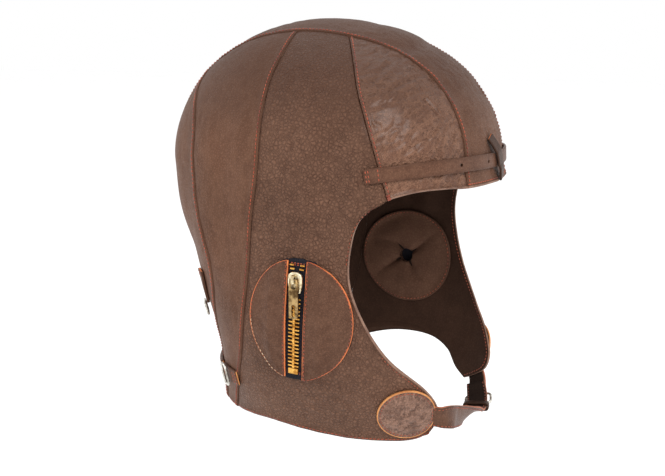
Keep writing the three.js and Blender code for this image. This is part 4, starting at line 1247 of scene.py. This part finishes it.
barTack = {"wide": 8.6, "up": (32.5, -31.5), "rows": (-0.5, 0.5), "pitch": 1.6}
for name, sign in sides.items():
    for piece in (zipTape, zipTeeth, zipSlider, zipEnd):
        piece(name, sign)
    for up in barTack["up"]:
        across = np.linspace(-0.5, 0.5, 9) * barTack["wide"]
        centre, _, upwards, out = zipFrame(sign, across, up, leather["lay"] + tape["thick"])
        for row in barTack["rows"]:
            sew(f"stitches_pocket_{name}", centre + row * upwards, out, pitch=barTack["pitch"], size=1.1)
print("zips made")

# Round patch inside each ear, gathered towards its small hole
liner = {
    "right": -15, "left": -17.5, "z": -160, "halfWide": 34, "halfTall": 32, "thick": 1.2,
    "hole": 4.8, "clear": 0.8, "rings": 34, "turns": 120, "bulge": 1.8, "gather": 2.4, "uneven": 0.7,
    "shift": {"right": 0.0, "left": -3.0},
}


# a round sheet on the leather, as rings round its centre
def roundGrid(centre, level, up, halfWide, halfTall, hole, rings, turns):
    outside = rings - np.array([0.6, 0.32, 0.14, 0])
    share = np.concatenate([[0, 0.12, 0.3], np.arange(1, rings), outside]) / rings
    angle = np.linspace(0, 2 * math.pi, turns + 1)[None]
    across = mix(hole, halfWide, share[:, None]) * np.cos(angle)
    rise = mix(hole, halfTall, share[:, None]) * np.sin(angle)
    return centre + across[..., None] * level + rise[..., None] * up, angle


def earLiner(name, sign):
    centre = np.array([sign * 80.0, liner[name], liner["z"]])
    grid, angle = roundGrid(
        centre, np.array([0, 1.0, 0]), np.array([0, 0, 1.0]), liner["halfWide"], liner["halfTall"],
        liner["hole"], liner["rings"], liner["turns"])
    away = np.hypot(grid[..., 1] - centre[1], grid[..., 2] - centre[2]) / liner["halfWide"]
    grid[..., 1] += liner["shift"][name] * smooth(0, 1, away)
    base = onForm(grid)
    runs = rimRuns(base)
    toRim, toHole = runs["bottom"], runs["top"]
    spokes = 1 - np.abs(np.sin(angle * 2.0 + 2.6 * noise(base, 26, 12)))
    drawn = liner["gather"] * 1.4 * spokes**2 * np.exp(-toHole / 15) * smooth(0, 5, toRim)
    bulge = liner["bulge"] * smooth(0, 14, toRim) * (0.5 + 0.5 * smooth(0, 12, toHole))
    uneven = liner["uneven"] * (noise(base, 14, 13) - 0.5) * smooth(0, 6, toRim)
    back = -leather["wall"] - liner["clear"] - foldDepth(base)
    closest = np.minimum(toRim, toHole)
    face = back - liner["thick"] - bulge + drawn - uneven + rounding(closest, 0.5)
    patch = addSheet(
        f"ear_liner_{name}_patch", f"ear_liner_{name}", base, face, back,
        ("liner", "inner", "liner"), closest, closed=True)
    patch.normal = -patch.normal
    sew(f"stitches_liner_{name}", *besideRim(patch, "bottom", 1.4), pitch=2.6, size=0.8)


# a round hole cut through a piece
def punch(made, centre, way, radius, deep=12):
    hole = bpy.data.meshes.new("hole")
    work = bmesh.new()
    bmesh.ops.create_cone(
        work, cap_ends=True, segments=32, radius1=radius * mm, radius2=radius * mm, depth=deep * mm)
    work.to_mesh(hole)
    work.free()
    cutter = bpy.data.objects.new("hole", hole)
    cutter.location = Vector(centre) * mm
    cutter.rotation_euler = Vector(way).to_track_quat("Z", "Y").to_euler()
    bpy.context.scene.collection.objects.link(cutter)
    bpy.context.view_layer.update()
    cut = made.modifiers.new("hole", "BOOLEAN")
    cut.object = cutter
    cut.operation = "DIFFERENCE"
    cut.solver = "EXACT"
    graph = bpy.context.evaluated_depsgraph_get()
    holed = bpy.data.meshes.new_from_object(made.evaluated_get(graph))
    made.modifiers.clear()
    made.data = holed
    bpy.data.objects.remove(cutter)
    bpy.data.meshes.remove(hole)


for name, sign in sides.items():
    earLiner(name, sign)
    ear = onForm(np.array([sign * 80.0, liner[name], liner["z"]]))
    punch(panels["side", name].piece, ear, (sign, 0, 0), liner["hole"])

# Round patch on each chin flap
chinDisc = {
    "right": (-58.5, -74.5, -219, 17), "left": (60, -76, -211, 16), "rings": 24, "turns": 110, "puff": 1.0,
    "wrinkle": 0.8, "groove": 0.5, "rim": 0.9,
}


def chinPatch(name):
    x, y, z, radius = chinDisc[name]
    centre = onForm(np.array([x, y, z], float))
    out = outward(centre)
    level = unit(np.cross([0, 0, 1.0], out))
    grid, _ = roundGrid(
        centre, level, np.cross(out, level), radius, radius, 0.01, chinDisc["rings"], chinDisc["turns"])
    base = onForm(grid)
    rim = rimRuns(base)["bottom"]
    low = leather["lay"] - foldDepth(base)
    ridged = 1 - np.abs(noise(base, 3.6, 14) * 2 - 1)
    relief = chinDisc["puff"] * smooth(0.8, 8, rim) - chinDisc["wrinkle"] * ridged**3 * smooth(1, 4, rim)
    relief -= chinDisc["groove"] * bell(rim - 1.5, 0.5)
    high = low + leather["thin"] + relief - rounding(rim, 0.45)
    return addSheet(
        f"chin_patch_{name}", f"chin_disc_{name}", base, high, low,
        ("disc", "lining", "tanEdge"), rim, closed=True, marked=rimCells(rim, chinDisc["rim"]))


for name in sides:
    patch = chinPatch(name)
    sew(f"stitches_chin_{name}", *besideRim(patch, "bottom", 2.0), size=0.8)
print("patches made")


# Straps: the section is a rounded strip, with a across it and h out of it
def stripSection(wide, thick, radius, across=8, corner=3):
    flat = np.linspace(-1, 1, across + 1)[1:-1] * (wide / 2 - radius)
    points = []
    for k, (sa, sh) in enumerate([(1, -1), (1, 1), (-1, 1), (-1, -1)]):
        turn = np.linspace(-math.pi / 2, 0, corner + 1) + k * math.pi / 2
        points += [(sa * (wide / 2 - radius) + radius * math.cos(a), sh * (thick / 2 - radius)
                    + radius * math.sin(a)) for a in turn]
        if k == 1:
            points += [(a, thick / 2) for a in flat[::-1]]
        if k == 3:
            points += [(a, -thick / 2) for a in flat]
    return np.array(points)


# a body swept along stations; closed for a ring, else with rounded ends
# materials are those of the face, of the cut edges and of the back
def swept(name, centre, aside, out, section, looks, closed=False, endRadius=0.5, cut=()):
    count, ring = len(centre), len(section)
    run = np.concatenate([[0], np.cumsum(np.linalg.norm(np.diff(centre, axis=0), axis=1))])
    toEnd = np.minimum(run, run[-1] - run)
    size = np.abs(section).max(0)
    drop = np.zeros(count) if closed else rounding(toEnd, endRadius)
    scale = 1 - drop[:, None] / size[None]
    points = (centre[:, None] + (section[None, :, :1] * scale[:, None, :1]) * aside[:, None]
              + (section[None, :, 1:] * scale[:, None, 1:]) * out[:, None])
    rows = np.arange(count if closed else count - 1)
    faces, kinds = [], []
    atSide = np.abs(section[:, 0]) > size[0] - 0.2
    atBack = section[:, 1] < -size[1] * 0.98
    for k in rows:
        after = (k + 1) % count
        for i in range(ring):
            j = (i + 1) % ring
            faces.append([k * ring + i, k * ring + j, after * ring + j, after * ring + i])
            side, under = (at[i] and at[j] for at in (atSide, atBack))
            kinds.append(1 if "sides" in cut and side else 2 if under else 0)
    if not closed:
        faces += [list(range(ring))[::-1], [(count - 1) * ring + i for i in range(ring)]]
        kinds += [1 if "ends" in cut else 0] * 2
    reach = np.full((count, 1), 99.0) if closed else toEnd[:, None]
    rim = np.minimum(size[0] - np.abs(section[None, :, 0]), reach)
    materials = [finishes[look] for look in looks]
    kinds = np.minimum(kinds, len(materials) - 1)
    return newObject(name, points.reshape(-1, 3), faces, materials, kinds, {"rim": rim.ravel()})


# a leather strap that stands for a node
def addStrap(name, node, frames, wide, thick, looks, cut=("ends",), radius=0.7, across=10):
    made = swept(name, *frames, stripSection(wide, thick, radius, across), looks, cut=cut)
    standFor(node)
    return made


# even stations along a line, closer at both ends
def stations(length, cell=1.2):
    count = max(4, int(length / cell))
    return gridLines(count, (0, 0.15, 0.4)) / count


# frames of a band that lies on the leather
def onLeather(points, lift, cell=1.2):
    line = lineThrough(points)
    share = stations(line.length, cell)
    base = onForm(line(share))
    out = outward(base)
    ahead = onForm(line(np.clip(share + 0.002, 0, 1))) - onForm(line(np.clip(share - 0.002, 0, 1)))
    along = unit(ahead)
    aside = unit(np.cross(along, out))
    lift = lift(base) if callable(lift) else lift
    return base + out * (lift - foldDepth(base))[:, None], aside, out


def sewAcross(group, frames, station, thick, wide, size=0.8, thread="thread"):
    centre, aside, out = (f[station] for f in frames)
    t = np.linspace(-wide / 2, wide / 2, 9)[:, None]
    line = centre + aside * t + out * thick / 2
    sew(group, line, np.repeat(out[None], 9, 0), pitch=1.9, size=size, thread=thread)


def sewAlong(group, frames, across, thick, start=0, stop=None, size=0.8, thread="thread"):
    centre, aside, out = (f[start:stop] for f in frames)
    sew(group, centre + aside * across + out * thick / 2, out, size=size, thread=thread)


browStrap = {
    "wide": 8.4, "half": [(76.8, -54.2, -82.4), (69, -70, -80), (57, -84, -78.5), (40, -95.5, -77.8),
                          (20, -102, -78), (0, -104, -78.5)],
    "holes": [(-40.5, -95.3, -77.8), (-16.5, -102.7, -78.2)], "holeRadius": 0.9,
}
browLine = [(-x, y, z) for x, y, z in browStrap["half"]] + browStrap["half"][-2::-1]
browFrames = onLeather(browLine, leather["lay"] + leather["strap"] / 2, 1.3)
made = addStrap("brow_band", "brow_strap", browFrames, browStrap["wide"], leather["strap"],
                ["strap", "orangeEdge", "inner"])
for spot in browStrap["holes"]:
    centre, out = onSkin(np.array(spot, float))
    punch(made, centre, out, browStrap["holeRadius"])
for station in (3, 4, 8, -4, -5, -9):
    sewAcross("stitches_brow", browFrames, station, leather["strap"], browStrap["wide"] - 1, 0.95)

browKeeper = {"wide": 7.6, "top": (-8, -102, -65), "bottom": (3, -106, -90)}


def overStrap(base):
    away = np.abs(base[:, 2] - browStrap["half"][-1][2]) - browStrap["wide"] / 2
    raised = np.clip(1.1 - away / 8, 0, 1) * (leather["strap"] + leather["lay"] + leather["fit"])
    return leather["fit"] + raised + leather["thin"] / 2


keeperLine = [mix(np.array(browKeeper["top"], float), np.array(browKeeper["bottom"], float), t)
              for t in np.linspace(0, 1, 5)]
keeperFrames = onLeather(keeperLine, overStrap, 0.7)
addStrap("brow_loop", "brow_keeper", keeperFrames, browKeeper["wide"], leather["thin"],
         ["keeper", "orangeEdge", "inner"], radius=0.55, across=6)
print("brow made")

# Chin strap: its centre line and the direction from its lower to its upper edge
chinStrap = {"wide": 13.5, "thick": 2.0, "rows": 30}
chinPath = [
    (-49, -90, -221.8, -0.25, -0.1, 1), (-46.8, -92.4, -222.2, -0.15, -0.02, 1),
    (-43.5, -94.1, -223, -0.08, 0, 1), (-38.5, -95, -224.6, 0, 0, 1),
    (-32, -94.6, -226.8, 0, -0.1, 1), (-19, -94.5, -231, 0, -0.3, 0.95),
    (-6, -93.5, -234.8, 0, -0.62, 0.78), (8, -91.5, -238, 0, -0.88, 0.47),
    (20, -89.5, -241, 0, -1, 0.1), (32, -87.6, -242.2, 0.05, -1, 0.08),
    (40, -85.5, -240, 0, -1, 0.15), (44.5, -83.6, -236.2, 0, -0.95, 0.3),
    (46.6, -82.4, -232.6, -0.1, -0.9, 0.35),
]


# reads a line by its points' numbers, from 0 at the first to 1 at the last
def byPoint(points, share):
    line = lineThrough(points).points
    steps = np.arange(len(line))
    return np.stack([np.interp(np.asarray(share) * steps[-1], steps, line[:, k]) for k in range(3)], -1)


def pathFrames(path, share):
    path = np.array(path, float)
    centre = byPoint(path[:, :3], share)
    before, after = (byPoint(path[:, :3], np.clip(share + step, 0, 1)) for step in (-0.002, 0.002))
    along = unit(after - before)
    upper = byPoint(path[:, 3:], share)
    upper = unit(upper - along * (upper * along).sum(-1, keepdims=True))
    return centre, upper, unit(np.cross(along, upper))


chinRoot = onSkin(np.array([-52.0, -86.6, -221.4]), -0.5)[0]
frames = pathFrames([(*chinRoot, -0.25, -0.1, 1), *chinPath], gridLines(110, (0, 0.2, 0.5)) / 110)
addStrap("chin_band", "chin_strap", frames, chinStrap["wide"], chinStrap["thick"],
         ["strap", "redEdge", "inner"], cut=("sides", "ends"), radius=0.8, across=12)
for across in (-1, 1):
    for face in (-1, 1):
        sewAlong("stitches_chin_strap", (frames[0], frames[1], frames[2] * face),
                 across * (chinStrap["wide"] / 2 - 1.3), chinStrap["thick"], 2, -2)


def chinFrameAt(target):
    centre, upper, out = pathFrames(chinPath, np.linspace(0, 1, chinStrap["rows"] + 1))
    k = int(np.argmin(np.linalg.norm(centre - np.array(target, float), axis=1)))
    return centre[k], np.cross(upper[k], out[k]), upper[k], out[k]


def ringOf(name, frame, long, wide, corner, section, looks, lift=0.0):
    centre, along, upper, out = frame
    outline = np.array(roundedOutline(long, wide, corner, 8))
    path = centre + out * lift + outline[:, :1] * along + outline[:, 1:] * upper
    ahead = unit(np.roll(path, -1, axis=0) - np.roll(path, 1, axis=0))
    flat = np.repeat(out[None], len(path), 0)
    return swept(name, path, np.cross(ahead, flat), flat, section, looks, closed=True)


def wireSection(wire, sides=14):
    turn = np.linspace(0, 2 * math.pi, sides, endpoint=False)
    return np.stack([np.cos(turn), np.sin(turn)], -1) * wire / 2


chinKeeper = {"at": (29, -88, -242), "long": 5.5, "clear": 0.5, "thick": 1.2}
centre, along, upper, out = chinFrameAt(chinKeeper["at"])
inWide = chinStrap["wide"] + 2 * leather["fit"] + chinKeeper["thick"]
inThick = chinStrap["thick"] + 2 * chinKeeper["clear"] + chinKeeper["thick"]
made = ringOf("chin_loop", (centre, upper, out, along), inWide, inThick, 1.4,
              stripSection(chinKeeper["thick"], chinKeeper["long"], 0.4, 2), ["keeper"])
standFor("chin_keeper")

chinTab = {
    "thick": 2.4, "wide": 12,
    "path": [(48.2, -83.2, -235.6, -0.1, -0.9, 0.35), (51, -82, -231.2, -0.25, -0.9, 0.25),
             (54, -79.8, -227.9, -0.5, -0.85, 0.1)],
}
frames = pathFrames(chinTab["path"], gridLines(12, (0, 0.2, 0.5)) / 12)
addStrap("chin_flap_tab", "chin_tab", frames, chinTab["wide"], chinTab["thick"],
         ["strap", "redEdge", "inner"], cut=("sides", "ends"), radius=0.8, across=8)

chinBuckle = {"at": (40.2, -85.4, -239.8), "wide": 18.5, "long": 10, "wire": 1.7, "corner": 2.4}
buckleFrame = chinFrameAt(chinBuckle["at"])
buckleLift = chinStrap["thick"] / 2 + 3 * leather["fit"] + chinBuckle["wire"] / 2
made = ringOf("chin_buckle_wire", buckleFrame, chinBuckle["long"] - chinBuckle["wire"],
              chinBuckle["wide"] - chinBuckle["wire"], chinBuckle["corner"],
              wireSection(chinBuckle["wire"]), ["steel"], buckleLift)
standFor("chin_buckle")
centre, along, upper, out = buckleFrame
prong = {"long": 8.4, "wire": 1.2, "lean": 0.5}
t = (np.concatenate([[0, 0.04], np.linspace(0.1, 0.9, 9), [0.96, 1]]) - 0.5)[:, None] * prong["long"]
middle = centre + out * (buckleLift + chinBuckle["wire"] + 1.6)
path = middle + t * (along * math.cos(prong["lean"]) + out * math.sin(prong["lean"]))
facing = np.repeat((out * math.cos(prong["lean"]) - along * math.sin(prong["lean"]))[None], len(t), 0)
made = swept("chin_prong_pin", path, np.repeat(upper[None], len(t), 0), facing,
             wireSection(prong["wire"], 10), ["darkSteel"], endRadius=0.45)
standFor("chin_prong")
print("chin made")

# Nape strap, its tab and buckle, and the keeper and buckle behind each rear seam
nape = {
    "wide": 10, "line": [(-60, 44.8, -208), (-32, 62, -208), (0, 64, -208), (32, 61, -208),
                         (60, 46, -204), (75, 26, -200)],
    "tab": [(-73.2, 27.5, -208), (-68.3, 34.8, -208), (-63.4, 42, -208)],
}
snug = leather["lay"] - 0.15
frames = onLeather(nape["line"], leather["lay"] + (leather["strap"] - snug) / 2)
addStrap("nape_band", "nape_strap", frames, nape["wide"], leather["strap"] + snug,
         ["strap", "tanEdge", "inner"])
for across in (-1, 1):
    sewAlong("stitches_nape", frames, across * (nape["wide"] / 2 - 1.5), leather["strap"] + snug, 2, -2)
frames = onLeather(nape["tab"], leather["lay"] + (leather["thin"] - snug) / 2, 0.9)
addStrap("nape_end", "nape_tab", frames, nape["wide"], leather["thin"] + snug,
         ["strap", "tanEdge", "inner"], radius=0.55, across=8)
for station in (3, 6):
    sewAcross("stitches_nape", frames, station, leather["thin"] + snug, nape["wide"] - 1.6)


def buckleOnLeather(name, node, s, sign=1):
    centre, out = onSkin(mirrored(s["place"], sign), s["lift"])
    along = unit(np.cross([0, 0, 1.0], out))
    made = ringOf(name, (centre, along, np.cross(out, along), out), s["long"] - s["wire"],
                  s["wide"] - s["wire"], s["corner"], wireSection(s["wire"]), ["steel"])
    standFor(node)


napeBuckle = {
    "place": (-66.4, 38, -208), "long": 9, "wide": 15, "wire": 1.6, "lift": 3.2, "corner": 2.8,
}
buckleOnLeather("nape_buckle_wire", "nape_buckle", napeBuckle)
rearBuckle = {
    "place": (61, 54.5, -169.4), "long": 13, "wide": 9, "wire": 1.5, "lift": 3.1, "corner": 2.4,
}
rearKeeper = {"wide": 8, "top": (65, 55, -146), "bottom": (61.5, 54.5, -166)}
keeperLift = leather["lay"] + (leather["thin"] - snug) / 2
for name, sign in sides.items():
    ends = [mirrored(rearKeeper[k], sign) for k in ("top", "bottom")]
    frames = onLeather([mix(*ends, t) for t in (0, 0.5, 1)], keeperLift, 0.9)
    addStrap(f"rear_loop_{name}", f"rear_keeper_{name}", frames, rearKeeper["wide"],
             leather["thin"] + snug, ["strap", "orangeEdge", "inner"], radius=0.55, across=8)
    for station in (3, 5):
        sewAcross(f"stitches_{name}", frames, station, leather["thin"] + snug, rearKeeper["wide"] - 1.6)
    buckleOnLeather(f"rear_buckle_wire_{name}", f"rear_buckle_{name}", rearBuckle, sign)
for (group, thread), rows in sewn.items():
    newObject(f"{group}_{thread}", *joined(rows), [finishes[thread]])
print("straps and buckles made")


# Soft studio light
def areaLight(name, place, target, size, power):
    made = bpy.data.objects.new(name, bpy.data.lights.new(name, "AREA"))
    made.data.shape = "DISK"
    made.data.size = size
    made.data.energy = power
    made.location = place
    made.rotation_euler = (Vector(target) - Vector(place)).to_track_quat("-Z", "Y").to_euler()
    bpy.context.scene.collection.objects.link(made)


for name, light in {
    "key": {"place": (-1.1, -1.0, 0.9), "size": 0.7, "power": 12},
    "fill": {"place": (0.3, -1.6, 0.2), "size": 1.2, "power": 3},
    "back": {"place": (-0.6, 1.3, 0.7), "size": 0.8, "power": 5},
    "top": {"place": (0.2, 0.1, 1.2), "size": 1.0, "power": 2},
}.items():
    areaLight(name, light["place"], (0, 0, -0.12), light["size"], light["power"])

world = bpy.data.worlds.new("studio")
world.use_nodes = True
world.node_tree.nodes["Background"].inputs["Color"].default_value = (1, 1, 1, 1)
world.node_tree.nodes["Background"].inputs["Strength"].default_value = 1.0
bpy.context.scene.world = world
bpy.context.scene.view_settings.view_transform = "Standard"

floor = {"z": -0.33, "size": 12}
ground = bpy.data.meshes.new("floor")
corner = floor["size"] / 2
ground.from_pydata([(-corner, -corner, floor["z"]), (corner, -corner, floor["z"]),
                    (corner, corner, floor["z"]), (-corner, corner, floor["z"])], [], [(0, 1, 2, 3)])
floorPiece = bpy.data.objects.new("floor", ground)
bpy.context.scene.collection.objects.link(floorPiece)
pale = Finish("floor", baseColor=(1, 1, 1, 1), roughness=0.95)
floorPiece.data.materials.append(pale.material)
